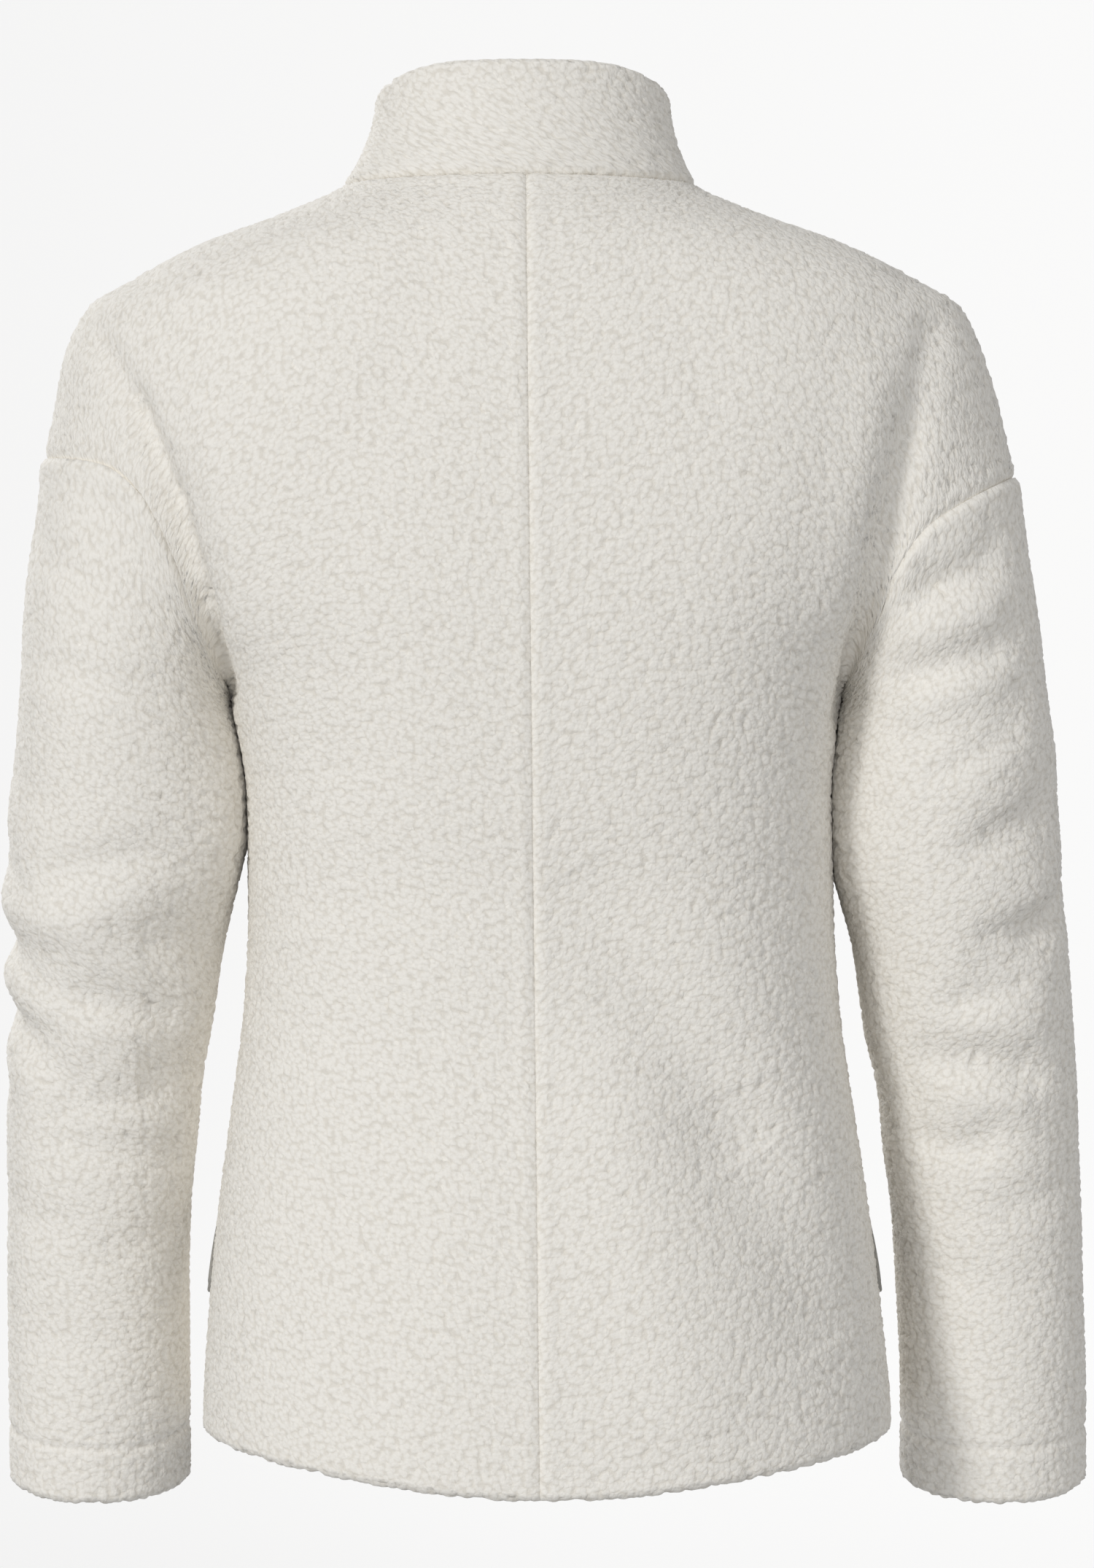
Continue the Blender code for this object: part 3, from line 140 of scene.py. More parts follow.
# ------------------------------------------------------------------ section tables
# One row for each level section of the body.
TORSO_COLUMNS = ("height", "centre", "half_width", "back", "front", "squareness")
TORSO = (
    (0.030, 0.0065, 0.0600, 0.0480, 0.0480, 2.0),
    (0.002, 0.0070, 0.0846, 0.0640, 0.0610, 2.0),
    (-0.014, 0.0062, 0.1200, 0.0770, 0.0720, 2.0),
    (-0.028, 0.0056, 0.1580, 0.0865, 0.0800, 2.1),
    (-0.042, 0.0048, 0.1840, 0.0935, 0.0860, 2.2),
    (-0.057, 0.0045, 0.1960, 0.0990, 0.0920, 2.4),
    (-0.085, 0.0035, 0.1980, 0.1070, 0.1010, 2.6),
    (-0.120, 0.0025, 0.1910, 0.1130, 0.1110, 2.8),
    (-0.160, 0.0010, 0.1800, 0.1170, 0.1170, 2.9),
    (-0.200, 0.0000, 0.1660, 0.1185, 0.1225, 2.8),
    (-0.245, -0.0010, 0.1500, 0.1165, 0.1250, 2.6),
    (-0.300, -0.0026, 0.1420, 0.1110, 0.1215, 2.5),
    (-0.350, -0.0034, 0.1420, 0.1060, 0.1180, 2.4),
    (-0.400, -0.0038, 0.1445, 0.1060, 0.1150, 2.4),
    (-0.450, -0.0042, 0.1510, 0.1110, 0.1160, 2.4),
    (-0.500, -0.0047, 0.1580, 0.1180, 0.1190, 2.4),
    (-0.550, -0.0055, 0.1635, 0.1235, 0.1220, 2.4),
    (-0.600, -0.0064, 0.1670, 0.1255, 0.1235, 2.4),
    (-0.660, -0.0066, 0.1680, 0.1260, 0.1240, 2.4),
)

# One row for each level section of an arm; outer and inner are distances from x = 0.
ARM_COLUMNS = (
    "height", "outer_left", "inner_left", "outer_right", "inner_right", "middle", "depth"
)
ARMS = (
    (-0.053, 0.2040, 0.1650, 0.1950, 0.1560, -0.0050, 0.0200),
    (-0.057, 0.2120, 0.1550, 0.2030, 0.1460, -0.0050, 0.0290),
    (-0.071, 0.2235, 0.1380, 0.2130, 0.1290, -0.0050, 0.0430),
    (-0.085, 0.2295, 0.1290, 0.2195, 0.1220, -0.0050, 0.0510),
    (-0.100, 0.2325, 0.1265, 0.2250, 0.1210, -0.0050, 0.0560),
    (-0.131, 0.2385, 0.1280, 0.2325, 0.1230, -0.0050, 0.0615),
    (-0.157, 0.2420, 0.1310, 0.2380, 0.1290, -0.0050, 0.0635),
    (-0.185, 0.2470, 0.1365, 0.2424, 0.1350, -0.0050, 0.0650),
    (-0.214, 0.2496, 0.1420, 0.2470, 0.1420, -0.0050, 0.0655),
    (-0.245, 0.2510, 0.1490, 0.2505, 0.1510, -0.0050, 0.0655),
    (-0.252, 0.2515, 0.1494, 0.2515, 0.1518, -0.0052, 0.0655),
    (-0.260, 0.2522, 0.1482, 0.2527, 0.1509, -0.0058, 0.0653),
    (-0.271, 0.2532, 0.1461, 0.2545, 0.1497, -0.0065, 0.0650),
    (-0.300, 0.2570, 0.1416, 0.2563, 0.1467, -0.0090, 0.0640),
    (-0.315, 0.2582, 0.1413, 0.2575, 0.1466, -0.0103, 0.0630),
    (-0.329, 0.2590, 0.1450, 0.2586, 0.1485, -0.0115, 0.0620),
    (-0.372, 0.2598, 0.1547, 0.2622, 0.1586, -0.0165, 0.0580),
    (-0.415, 0.2596, 0.1611, 0.2656, 0.1650, -0.0225, 0.0535),
    (-0.443, 0.2598, 0.1654, 0.2676, 0.1715, -0.0265, 0.0510),
    (-0.472, 0.2600, 0.1690, 0.2688, 0.1745, -0.0300, 0.0490),
    (-0.500, 0.2602, 0.1718, 0.2703, 0.1785, -0.0335, 0.0475),
    (-0.543, 0.2606, 0.1730, 0.2718, 0.1815, -0.0390, 0.0460),
    (-0.586, 0.2606, 0.1730, 0.2736, 0.1838, -0.0440, 0.0455),
    (-0.660, 0.2604, 0.1730, 0.2745, 0.1842, -0.0520, 0.0450),
)

# Height of the armhole seam over the distance from x = 0.
ARMHOLE_COLUMNS = ("across", "height")
ARMHOLE_LEFT = (
    (0.149, -0.245),
    (0.155, -0.233),
    (0.164, -0.212),
    (0.174, -0.182),
    (0.188, -0.153),
    (0.209, -0.137),
    (0.250, -0.131),
)
ARMHOLE_RIGHT = (
    (0.151, -0.245),
    (0.157, -0.233),
    (0.166, -0.212),
    (0.175, -0.189),
    (0.187, -0.170),
    (0.205, -0.157),
    (0.245, -0.136),
)

# Sleeve folds: angles in degrees round the arm, 0 outward, 90 to the back, 180 inward.
# Depth below zero is a trough, above zero a ridge.
SLEEVE_FOLD_COLUMNS = ("angle_a", "height_a", "angle_b", "height_b", "width", "depth")
FOLDS_LEFT = (
    (0, -0.322, 48, -0.347, 0.011, -0.0030),
    (36, -0.346, 74, -0.363, 0.012, 0.0026),
    (70, -0.363, 122, -0.344, 0.012, 0.0028),
    (-20, -0.360, 50, -0.385, 0.011, -0.0045),
    (50, -0.387, 135, -0.399, 0.012, -0.0038),
    (-20, -0.392, 44, -0.417, 0.011, -0.0045),
    (40, -0.417, 80, -0.440, 0.012, -0.0040),
    (112, -0.368, 165, -0.366, 0.016, -0.0050),
    (108, -0.430, 165, -0.428, 0.018, -0.0055),
    (60, -0.465, 140, -0.472, 0.011, -0.0032),
    (-30, -0.431, 20, -0.436, 0.011, -0.0028),
    (-60, -0.340, -120, -0.356, 0.014, -0.0040),
    (-50, -0.385, -125, -0.392, 0.014, -0.0045),
    (-70, -0.430, -130, -0.420, 0.013, -0.0035),
)
FOLDS_RIGHT = (
    (52, -0.166, 100, -0.198, 0.010, -0.0036),
    (45, -0.216, 112, -0.238, 0.011, -0.0036),
    (45, -0.243, 116, -0.272, 0.011, -0.0036),
    (38, -0.310, 84, -0.318, 0.012, -0.0028),
    (10, -0.342, 55, -0.366, 0.011, -0.0040),
    (50, -0.364, 92, -0.384, 0.012, -0.0040),
    (60, -0.430, 92, -0.419, 0.010, -0.0038),
    (88, -0.419, 122, -0.424, 0.010, -0.0032),
    (78, -0.458, 98, -0.468, 0.009, -0.0026),
    (62, -0.444, 110, -0.440, 0.012, 0.0026),
    (-40, -0.300, -110, -0.320, 0.014, -0.0038),
    (-50, -0.350, -125, -0.362, 0.014, -0.0045),
    (-60, -0.400, -130, -0.396, 0.013, -0.0040),
)

# Body folds: side is 1 on the back and -1 on the front.
BODY_FOLD_COLUMNS = ("side", "x_a", "height_a", "x_b", "height_b", "width", "depth")
BODY_FOLDS = (
    (1, -0.020, -0.330, -0.100, -0.470, 0.026, -0.0045),
    (1, -0.085, -0.440, -0.140, -0.560, 0.026, -0.0055),
    (1, -0.030, -0.440, -0.075, -0.600, 0.030, 0.0035),
    (1, 0.098, -0.130, 0.092, -0.290, 0.024, -0.0024),
    (1, 0.040, -0.030, 0.070, -0.120, 0.020, -0.0018),
    (1, -0.050, -0.030, -0.090, -0.110, 0.020, -0.0014),
    (-1, 0.135, -0.270, 0.068, -0.340, 0.020, -0.0036),
    (-1, -0.135, -0.270, -0.072, -0.335, 0.020, -0.0034),
    (-1, 0.120, -0.410, 0.080, -0.580, 0.024, -0.0036),
    (-1, -0.115, -0.400, -0.085, -0.570, 0.024, -0.0036),
)


# ------------------------------------------------------------------ tables and curves
def column(rows, names, name):
    """One named column of a table as numbers."""
    place = names.index(name)
    return np.array([row[place] for row in rows], dtype=float)


def eased(knots, values, at):
    """A curve without overshoot through the table's values."""
    order = np.argsort(knots)
    knots = np.asarray(knots, dtype=float)[order]
    values = np.asarray(values, dtype=float)[order]
    steps = np.diff(knots)
    rises = np.diff(values) / steps
    slopes = np.zeros(len(knots))
    same = rises[:-1] * rises[1:] > 0.0
    left = 2.0 * steps[1:] + steps[:-1]
    right = steps[1:] + 2.0 * steps[:-1]
    safe_a = np.where(same, rises[:-1], 1.0)
    safe_b = np.where(same, rises[1:], 1.0)
    slopes[1:-1] = np.where(same, (left + right) / (left / safe_a + right / safe_b), 0.0)
    slopes[0] = rises[0]
    slopes[-1] = rises[-1]
    at = np.clip(np.asarray(at, dtype=float), knots[0], knots[-1])
    cell = np.clip(np.searchsorted(knots, at) - 1, 0, len(knots) - 2)
    size = steps[cell]
    part = (at - knots[cell]) / size
    square = part * part
    cube = square * part
    return (
        (2.0 * cube - 3.0 * square + 1.0) * values[cell]
        + (cube - 2.0 * square + part) * size * slopes[cell]
        + (3.0 * square - 2.0 * cube) * values[cell + 1]
        + (cube - square) * size * slopes[cell + 1]
    )


def torso_value(name, height):
    """A body section value at the given heights."""
    knots = column(TORSO, TORSO_COLUMNS, "height")
    return eased(knots, column(TORSO, TORSO_COLUMNS, name), height)


def arm_value(hand, name, height):
    """An arm section value; hand is 1 on the wearer's left, -1 on the right."""
    if name in ("outer", "inner"):
        name += "_left" if hand > 0 else "_right"
    knots = column(ARMS, ARM_COLUMNS, "height")
    return eased(knots, column(ARMS, ARM_COLUMNS, name), height)


def smooth_step(value):
    """0 below 0, 1 above 1, smooth between."""
    value = np.clip(value, 0.0, 1.0)
    return value * value * (3.0 - 2.0 * value)


def back_seam(height):
    """x of the centre lines over the height."""
    part = np.clip(-np.asarray(height, dtype=float) / BODY_LENGTH, -0.2, 1.2)
    return BACK_SEAM_TOP + (BACK_SEAM_BOTTOM - BACK_SEAM_TOP) * part


def armhole_height(hand, across):
    """Height of the armhole seam at a distance from x = 0."""
    rows = ARMHOLE_LEFT if hand > 0 else ARMHOLE_RIGHT
    knots = column(rows, ARMHOLE_COLUMNS, "across")
    return eased(knots, column(rows, ARMHOLE_COLUMNS, "height"), across)


# ------------------------------------------------------------------ distance functions
def segment_bump(first, second, start, end, width, depth):
    """A soft trough or ridge along a segment, in any two flat coordinates."""
    run = (end[0] - start[0], end[1] - start[1])
    length = math.hypot(run[0], run[1])
    along = ((first - start[0]) * run[0] + (second - start[1]) * run[1]) / length ** 2
    off_line = ((first - start[0]) * run[1] - (second - start[1]) * run[0]) / length
    past = np.maximum(np.abs(along - 0.5) - 0.5, 0.0) * length
    inside = np.sqrt(np.clip(1.0 - (2.0 * np.clip(along, 0.0, 1.0) - 1.0) ** 4, 0.0, 1.0))
    share = FOLD_END_SHARE + (1.0 - FOLD_END_SHARE) * inside
    fade = np.exp(-((past / (FOLD_END_FADE * width)) ** 2)) * share
    return depth * np.exp(-((off_line / width) ** 2)) * fade


def body_folds(points, rows=BODY_FOLDS):
    """Height of the body's folds at the points."""
    total = np.zeros(len(points))
    for row in rows:
        fold = dict(zip(BODY_FOLD_COLUMNS, row))
        bump = segment_bump(
            points[:, 0],
            points[:, 2],
            (fold["x_a"], fold["height_a"]),
            (fold["x_b"], fold["height_b"]),
            fold["width"],
            fold["depth"],
        )
        facing = smooth_step((points[:, 1] - MIDDLE_Y) * fold["side"] / FOLD_FACING_DEPTH)
        total += bump * facing
    return total


def sleeve_folds(points, hand, rows=None):
    """Height of a sleeve's folds at the points."""
    height = points[:, 2]
    outer = arm_value(hand, "outer", height)
    inner = arm_value(hand, "inner", height)
    middle = arm_value(hand, "middle", height)
    radius = 0.5 * (outer - inner)
    across = points[:, 0] * hand - 0.5 * (outer + inner)
    angle = np.arctan2(points[:, 1] - middle, across)
    total = np.zeros(len(points))
    if rows is None:
        rows = FOLDS_LEFT if hand > 0 else FOLDS_RIGHT
    for row in rows:
        fold = dict(zip(SLEEVE_FOLD_COLUMNS, row))
        start = math.radians(fold["angle_a"])
        end = math.radians(fold["angle_b"])
        turned = angle - 0.5 * (start + end)
        turned = (turned + math.pi) % (2.0 * math.pi) - math.pi + 0.5 * (start + end)
        total += segment_bump(
            turned * radius,
            height,
            (start * FOLD_ARM_RADIUS, fold["height_a"]),
            (end * FOLD_ARM_RADIUS, fold["height_b"]),
            fold["width"],
            fold["depth"],
        )
    return total


def torso_distance(points):
    """Distance outward from the body's sections."""
    height = points[:, 2]
    across = points[:, 0] - torso_value("centre", height)
    deep = points[:, 1] - MIDDLE_Y
    half = torso_value("half_width", height)
    back = torso_value("back", height) - MIDDLE_Y
    front = torso_value("front", height) + MIDDLE_Y
    depth = np.where(deep > 0.0, back, front)
    power = torso_value("squareness", height)
    ratio = (np.abs(across / half) ** power + np.abs(deep / depth) ** power) ** (1.0 / power)
    ratio = np.maximum(ratio, 1e-6)
    return np.hypot(across, deep) * (1.0 - 1.0 / ratio)


def arm_distance(points, hand):
    """Distance outward from one arm's sections."""
    height = points[:, 2]
    outer = arm_value(hand, "outer", height)
    inner = arm_value(hand, "inner", height)
    across = points[:, 0] * hand - 0.5 * (outer + inner)
    deep = points[:, 1] - arm_value(hand, "middle", height)
    radius = 0.5 * (outer - inner)
    ratio = np.hypot(across / radius, deep / arm_value(hand, "depth", height))
    ratio = np.maximum(ratio, 1e-6)
    top = column(ARMS, ARM_COLUMNS, "height").max()
    above = np.maximum(height - top, 0.0)
    return np.hypot(across, deep) * (1.0 - 1.0 / ratio) + ARM_TOP_STEEPNESS * above


def underarm_rise(points):
    """0 below the underarm, 1 well above it."""
    return smooth_step((points[:, 2] - UNDERARM_HEIGHT) / BLEND_RISE)


def joined_distance(points, hand):
    """Body and arm run together above the underarm."""
    body = torso_distance(points)
    arm = arm_distance(points, hand)
    width = np.maximum(BLEND_WIDTH * underarm_rise(points), 1e-6)
    near = np.maximum(width - np.abs(body - arm), 0.0) / width
    return np.minimum(body, arm) - near * near * width * 0.25


def panel_distance(points, hand):
    """Distance from the surface that the body panels follow."""
    whole = joined_distance(points, hand)
    alone = torso_distance(points)
    value = np.where(points[:, 2] > UNDERARM_HEIGHT, whole, alone)
    return value - body_folds(points)


def sleeve_step(points, hand):
    """The sleeve stands a little proud just below the armhole seam."""
    across = np.abs(points[:, 0])
    below = np.maximum(armhole_height(hand, across) - points[:, 2], 0.0)
    rise = armhole_height(hand, across) - STEP_FADE_HEIGHT
    strength = smooth_step(rise / STEP_FADE_LENGTH)
    return SEAM_STEP * strength * np.exp(-below / SEAM_STEP_LENGTH)


def sleeve_distance(points, hand):
    """Distance from the surface that a sleeve follows."""
    whole = joined_distance(points, hand)
    alone = arm_distance(points, hand)
    value = np.where(points[:, 2] > UNDERARM_HEIGHT, whole, alone)
    value = value - body_folds(points) * underarm_rise(points)
    return value - sleeve_folds(points, hand) - sleeve_step(points, hand)


def unit(directions):
    """Directions brought to length one."""
    return directions / np.linalg.norm(directions, axis=-1, keepdims=True)


def slope_of(points, distance, reach=0.0004):
    """Direction of steepest growth of a distance."""
    slope = np.zeros_like(points)
    for axis in range(3):
        shift = np.zeros(3)
        shift[axis] = reach
        slope[:, axis] = (distance(points + shift) - distance(points - shift)) / (2.0 * reach)
    return slope


def settle(points, distance, rounds):
    """Points moved onto the surface where the distance is nothing."""
    for _ in range(rounds):
        value = distance(points)
        slope = slope_of(points, distance)
        size = np.maximum((slope ** 2).sum(axis=1), 1e-3)
        move = (value / size)[:, None] * slope
        length = np.linalg.norm(move, axis=1)
        scale = np.minimum(1.0, LARGEST_MOVE / np.maximum(length, 1e-9))
        points = points - move * scale[:, None]
    return points


def outward(points, distance):
    """Unit directions pointing out of the surface, evened over a few millimetres."""
    slope = slope_of(points, distance, WALL_REACH)
    return slope / np.maximum(np.linalg.norm(slope, axis=1), 1e-9)[:, None]


def first_exit(starts, directions, reach, distance):
    """Where lines from inside the surface leave it."""
    low = np.zeros(len(starts))
    high = np.full(len(starts), reach)
    for _ in range(HALVINGS):
        half = 0.5 * (low + high)
        inside = distance(starts + directions * half[:, None]) < 0.0
        low = np.where(inside, half, low)
        high = np.where(inside, high, half)
    return starts + directions * (0.5 * (low + high))[:, None]


# ------------------------------------------------------------------ lines on the surface
def evened(line, count):
    """A line's points set at even lengths; count is the number of steps."""
    lengths = np.concatenate([[0.0], np.cumsum(np.linalg.norm(np.diff(line, axis=0), axis=1))])
    marks = np.linspace(0.0, lengths[-1], count + 1)
    return np.stack([np.interp(marks, lengths, line[:, axis]) for axis in range(3)], axis=1)


def clipped(line, hand, offset):
    """The part of a line beyond the centre line, with its crossing added."""
    beyond = (line[:, 0] - back_seam(line[:, 2])) * hand - offset
    last = np.nonzero(beyond > 0.0)[0][-1]
    part = beyond[last] / (beyond[last] - beyond[last + 1])
    cross = line[last] + (line[last + 1] - line[last]) * part
    return np.concatenate([line[: last + 1], cross[None, :]])


def middle_points(height):
    """Points on the body's middle line at the given heights."""
    return np.stack(
        [torso_value("centre", height), np.full(len(height), MIDDLE_Y), height], axis=1
    )


def round_line(hand, face, offset, turn, height, reach):
    """Where level rays from the middle line leave the body, out to the centre line."""
    aim = np.stack([np.cos(turn) * hand, np.sin(turn) * face, np.zeros(LINE_POINTS)], axis=1)
    line = first_exit(middle_points(height), aim, reach, lambda p: panel_distance(p, hand))
    return clipped(line, hand, offset)


def hem_line(hand, face, offset):
    """Lower edge from the side seam to the centre."""
    turn = np.linspace(0.0, math.radians(HEM_TURN), LINE_POINTS)
    dip = HEM_BACK_DIP if face > 0 else -HEM_FRONT_RISE
    height = HEM_SIDE_HEIGHT - dip * np.sin(turn) ** 2
    return round_line(hand, face, offset, turn, height, BODY_REACH)


def neck_line(hand, face, offset):
    """Neck edge from the shoulder seam to the centre."""
    turn = np.linspace(0.0, math.radians(NECK_TURN), LINE_POINTS)
    drop = 0.0 if face > 0 else NECK_FRONT_DROP
    height = NECK_HEIGHT - drop * np.clip(np.sin(turn), 0.0, 1.0) ** NECK_DIP_POWER
    return round_line(hand, face, offset, turn, height, NECK_REACH)


def side_line(hand):
    """Side seam from the hem to the underarm."""
    height = np.linspace(HEM_SIDE_HEIGHT, UNDERARM_HEIGHT, LINE_POINTS)
    across = torso_value("centre", height) + hand * torso_value("half_width", height)
    return np.stack([across, np.full(LINE_POINTS, MIDDLE_Y), height], axis=1)


def drop_point(hand):
    """Outer end of the shoulder seam, where it meets the armhole seam."""
    low, high = DROP_POINT_RANGE
    for _ in range(HALVINGS):
        half = 0.5 * (low + high)
        point = np.array([[half * hand, MIDDLE_Y, float(armhole_height(hand, half))]])
        if joined_distance(point, hand)[0] < 0.0:
            low = half
        else:
            high = half
    return 0.5 * (low + high)


def armhole_line(hand, face):
    """Armhole seam from the underarm up to the end of the shoulder seam."""
    underarm = float(torso_value("centre", UNDERARM_HEIGHT)) * hand
    underarm += float(torso_value("half_width", UNDERARM_HEIGHT))
    tip = drop_point(hand)
    wave = 0.5 - 0.5 * np.cos(np.linspace(0.0, math.pi, ARMHOLE_POINTS))
    across = underarm + (tip - underarm) * wave
    height = armhole_height(hand, across)
    starts = np.stack([across * hand, np.full(ARMHOLE_POINTS, MIDDLE_Y), height], axis=1)
    aim = np.tile(np.array([0.0, float(face), 0.0]), (ARMHOLE_POINTS, 1))
    line = first_exit(starts, aim, ARMHOLE_REACH, lambda p: joined_distance(p, hand))
    line[0] = (underarm * hand, MIDDLE_Y, UNDERARM_HEIGHT)
    line[-1] = (tip * hand, MIDDLE_Y, height[-1])
    return line


def shoulder_line(hand):
    """Shoulder seam from the neck to the armhole seam."""
    tip = drop_point(hand)
    end = float(armhole_height(hand, tip))
    part = np.linspace(0.0, 1.0, LONG_LINE_POINTS)
    height = NECK_HEIGHT + (end - NECK_HEIGHT) * part
    starts = middle_points(height)
    aim = np.tile(np.array([float(hand), 0.0, 0.0]), (LONG_LINE_POINTS, 1))
    return first_exit(starts, aim, SHOULDER_REACH, lambda p: joined_distance(p, hand))


def centre_line(hand, face, offset, start, end):
    """Centre edge from the hem to the neck."""
    height = np.linspace(start[2], end[2], LONG_LINE_POINTS)
    across = back_seam(height) + hand * offset
    starts = np.stack([across, np.full(LONG_LINE_POINTS, MIDDLE_Y), height], axis=1)
    aim = np.tile(np.array([0.0, float(face), 0.0]), (LONG_LINE_POINTS, 1))
    return first_exit(starts, aim, NECK_REACH, lambda p: panel_distance(p, hand))


# ------------------------------------------------------------------ grids of points
def spanned(left, right, bottom, top):
    """A grid between four edges; left and right run up, bottom and top run across."""
    rows = len(left)
    cols = len(bottom)
    v = np.linspace(0.0, 1.0, rows)[:, None, None]
    u = np.linspace(0.0, 1.0, cols)[None, :, None]
    across = left[:, None, :] * (1.0 - u) + right[:, None, :] * u
    upward = bottom[None, :, :] * (1.0 - v) + top[None, :, :] * v
    corner = (
        bottom[0] * (1.0 - u) * (1.0 - v)
        + bottom[-1] * u * (1.0 - v)
        + top[0] * (1.0 - u) * v
        + top[-1] * u * v
    )
    return across + upward - corner


def settled(grid, distance, rounds):
    """A grid's points moved onto the surface."""
    return settle(grid.reshape(-1, 3), distance, rounds).reshape(grid.shape)


def relaxed(grid, distance, rounds):
    """Inner grid points evened out while they stay on the surface."""
    for _ in range(rounds):
        middle = 0.25 * (grid[:-2, 1:-1] + grid[2:, 1:-1] + grid[1:-1, :-2] + grid[1:-1, 2:])
        grid[1:-1, 1:-1] = settled(middle, distance, 1)
    grid[1:-1, 1:-1] = settled(grid[1:-1, 1:-1], distance, FINAL_ROUNDS)
    return grid


def panel_edges(hand, face, up, across):
    """A panel's hem, its neck with the shoulder, and its side with the armhole."""
    offset = 0.0 if face > 0 else ZIP_OPENING_HALF
    hem = hem_line(hand, face, offset)[::-1]
    neck = evened(neck_line(hand, face, offset)[::-1], NECK_COLUMNS * across)
    slope = evened(shoulder_line(hand), SHOULDER_COLUMNS * across)
    side = evened(side_line(hand), SIDE_ROWS * up)
    hole = evened(armhole_line(hand, face), ARMHOLE_ROWS * up)
    return (
        evened(hem, (NECK_COLUMNS + SHOULDER_COLUMNS) * across),
        np.concatenate([neck, slope[1:]]),
        np.concatenate([side, hole[1:]]),
    )


def panel_grid(hand, face):
    """Outer surface of one back or front panel: rows from hem up, columns outward."""
    offset = 0.0 if face > 0 else ZIP_OPENING_HALF
    bottom, top, right = panel_edges(hand, face, 1, 1)
    centre = centre_line(hand, face, offset, bottom[0], top[0])
    cut = int(np.argmin(np.abs(centre[:, 2] - UNDERARM_HEIGHT + CENTRE_CUT_DROP)))
    left = np.concatenate(
        [evened(centre[: cut + 1], SIDE_ROWS), evened(centre[cut:], ARMHOLE_ROWS)[1:]]
    )
    left[-1] = top[0]
    left[0] = bottom[0]
    top[-1] = right[-1]
    bottom[-1] = right[0]
    grid = spanned(left, right, bottom, top)
    return relaxed(grid, lambda p: panel_distance(p, hand), RELAX_ROUNDS)


def arm_centre(hand, height):
    """Places of the arm's middle at the given heights."""
    across = 0.5 * (arm_value(hand, "outer", height) + arm_value(hand, "inner", height))
    return np.stack([across * hand, arm_value(hand, "middle", height), height], axis=-1)


def arm_exit(hand, starts, turn, distance):
    """Where level rays from the arm's middle leave it."""
    aim = np.stack([np.cos(turn) * hand, np.sin(turn), np.zeros(len(turn))], axis=1)
    return first_exit(starts, aim, ARM_REACH, lambda p: distance(p, hand))


def arm_turns(count):
    """Even turns round an arm, from its inner side over the back."""
    return math.pi - np.linspace(0.0, 2.0 * math.pi, count, endpoint=False)


def cuff_ring(hand, count):
    """Lower edge of a sleeve, starting at the inner side and going round the back."""
    turn = arm_turns(count)
    height = CUFF_BACK_HEIGHT + CUFF_FRONT_RISE * (0.5 - 0.5 * np.sin(turn))
    return arm_exit(hand, arm_centre(hand, height), turn, sleeve_distance)


def armhole_ring(hand, steps):
    """The whole armhole seam, up the back and down the front."""
    back = evened(armhole_line(hand, 1), steps)
    front = evened(armhole_line(hand, -1), steps)
    return np.concatenate([back, front[::-1][1:-1]])


def sleeve_grid(hand):
    """Outer surface of a sleeve: rows from the armhole down, columns round the arm."""
    ring = armhole_ring(hand, ARMHOLE_ROWS)
    count = len(ring)
    cuff = cuff_ring(hand, count)
    parts = [step / SLEEVE_ROWS for step in range(SLEEVE_ROWS + 1)]
    grid = np.array([ring * (1.0 - part) + cuff * part for part in parts])
    middle = arm_centre(hand, grid[:, :, 2])
    away = ring - middle[0]
    angle_top = np.arctan2(away[:, 1], away[:, 0] * hand)
    angle_low = arm_turns(count)
    angle_top = angle_low + (angle_top - angle_low + math.pi) % (2.0 * math.pi) - math.pi
    for step in range(1, SLEEVE_ROWS):
        part = smooth_step(step / (ANGLE_TURN_SHARE * SLEEVE_ROWS))
        turn = angle_top * (1.0 - part) + angle_low * part
        grid[step] = arm_exit(hand, middle[step], turn, arm_distance)
    distance = lambda p: sleeve_distance(p, hand)
    for _ in range(RELAX_ROUNDS):
        sides = np.roll(grid, 1, axis=1) + np.roll(grid, -1, axis=1)
        middle = 0.25 * (grid[:-2] + grid[2:] + sides[1:-1])
        middle[0, :, 2] = np.minimum(middle[0, :, 2], grid[0, :, 2] - FIRST_ROW_DROP)
        grid[1:-1] = settled(middle, distance, 1)
    grid[1:-1] = settled(grid[1:-1], distance, FINAL_ROUNDS)
    return grid


def edge_shift(edge, near, normals, closed):
    """Unit directions from an edge into its grid, square to the edge and the normals."""
    if closed:
        run = np.roll(edge, -1, axis=0) - np.roll(edge, 1, axis=0)
    else:
        run = np.gradient(edge, axis=0)
    side = np.cross(normals, run)
    side /= np.maximum(np.linalg.norm(side, axis=1, keepdims=True), 1e-9)
    return side * np.sign((side * (near - edge)).sum(axis=1, keepdims=True))


def drawn_in(grid, normals, gap, sides, closed=False):
    """Edge points pulled inside their grid so that neighbours stand a gap apart."""
    moved = grid.copy()
    picks = {
        "first_row": (np.s_[0], np.s_[2]),
        "last_row": (np.s_[-1], np.s_[-3]),
        "first_column": (np.s_[:, 0], np.s_[:, 2]),
        "last_column": (np.s_[:, -1], np.s_[:, -3]),
    }
    for side in sides:
        edge, near = picks[side]
        shift = edge_shift(grid[edge], grid[near], normals[edge], closed)
        moved[edge] = moved[edge] + shift * gap * 0.5
    return moved


def grid_normals(grid, distance):
    """Outward directions at a grid's points."""
    return outward(grid.reshape(-1, 3), distance).reshape(grid.shape)


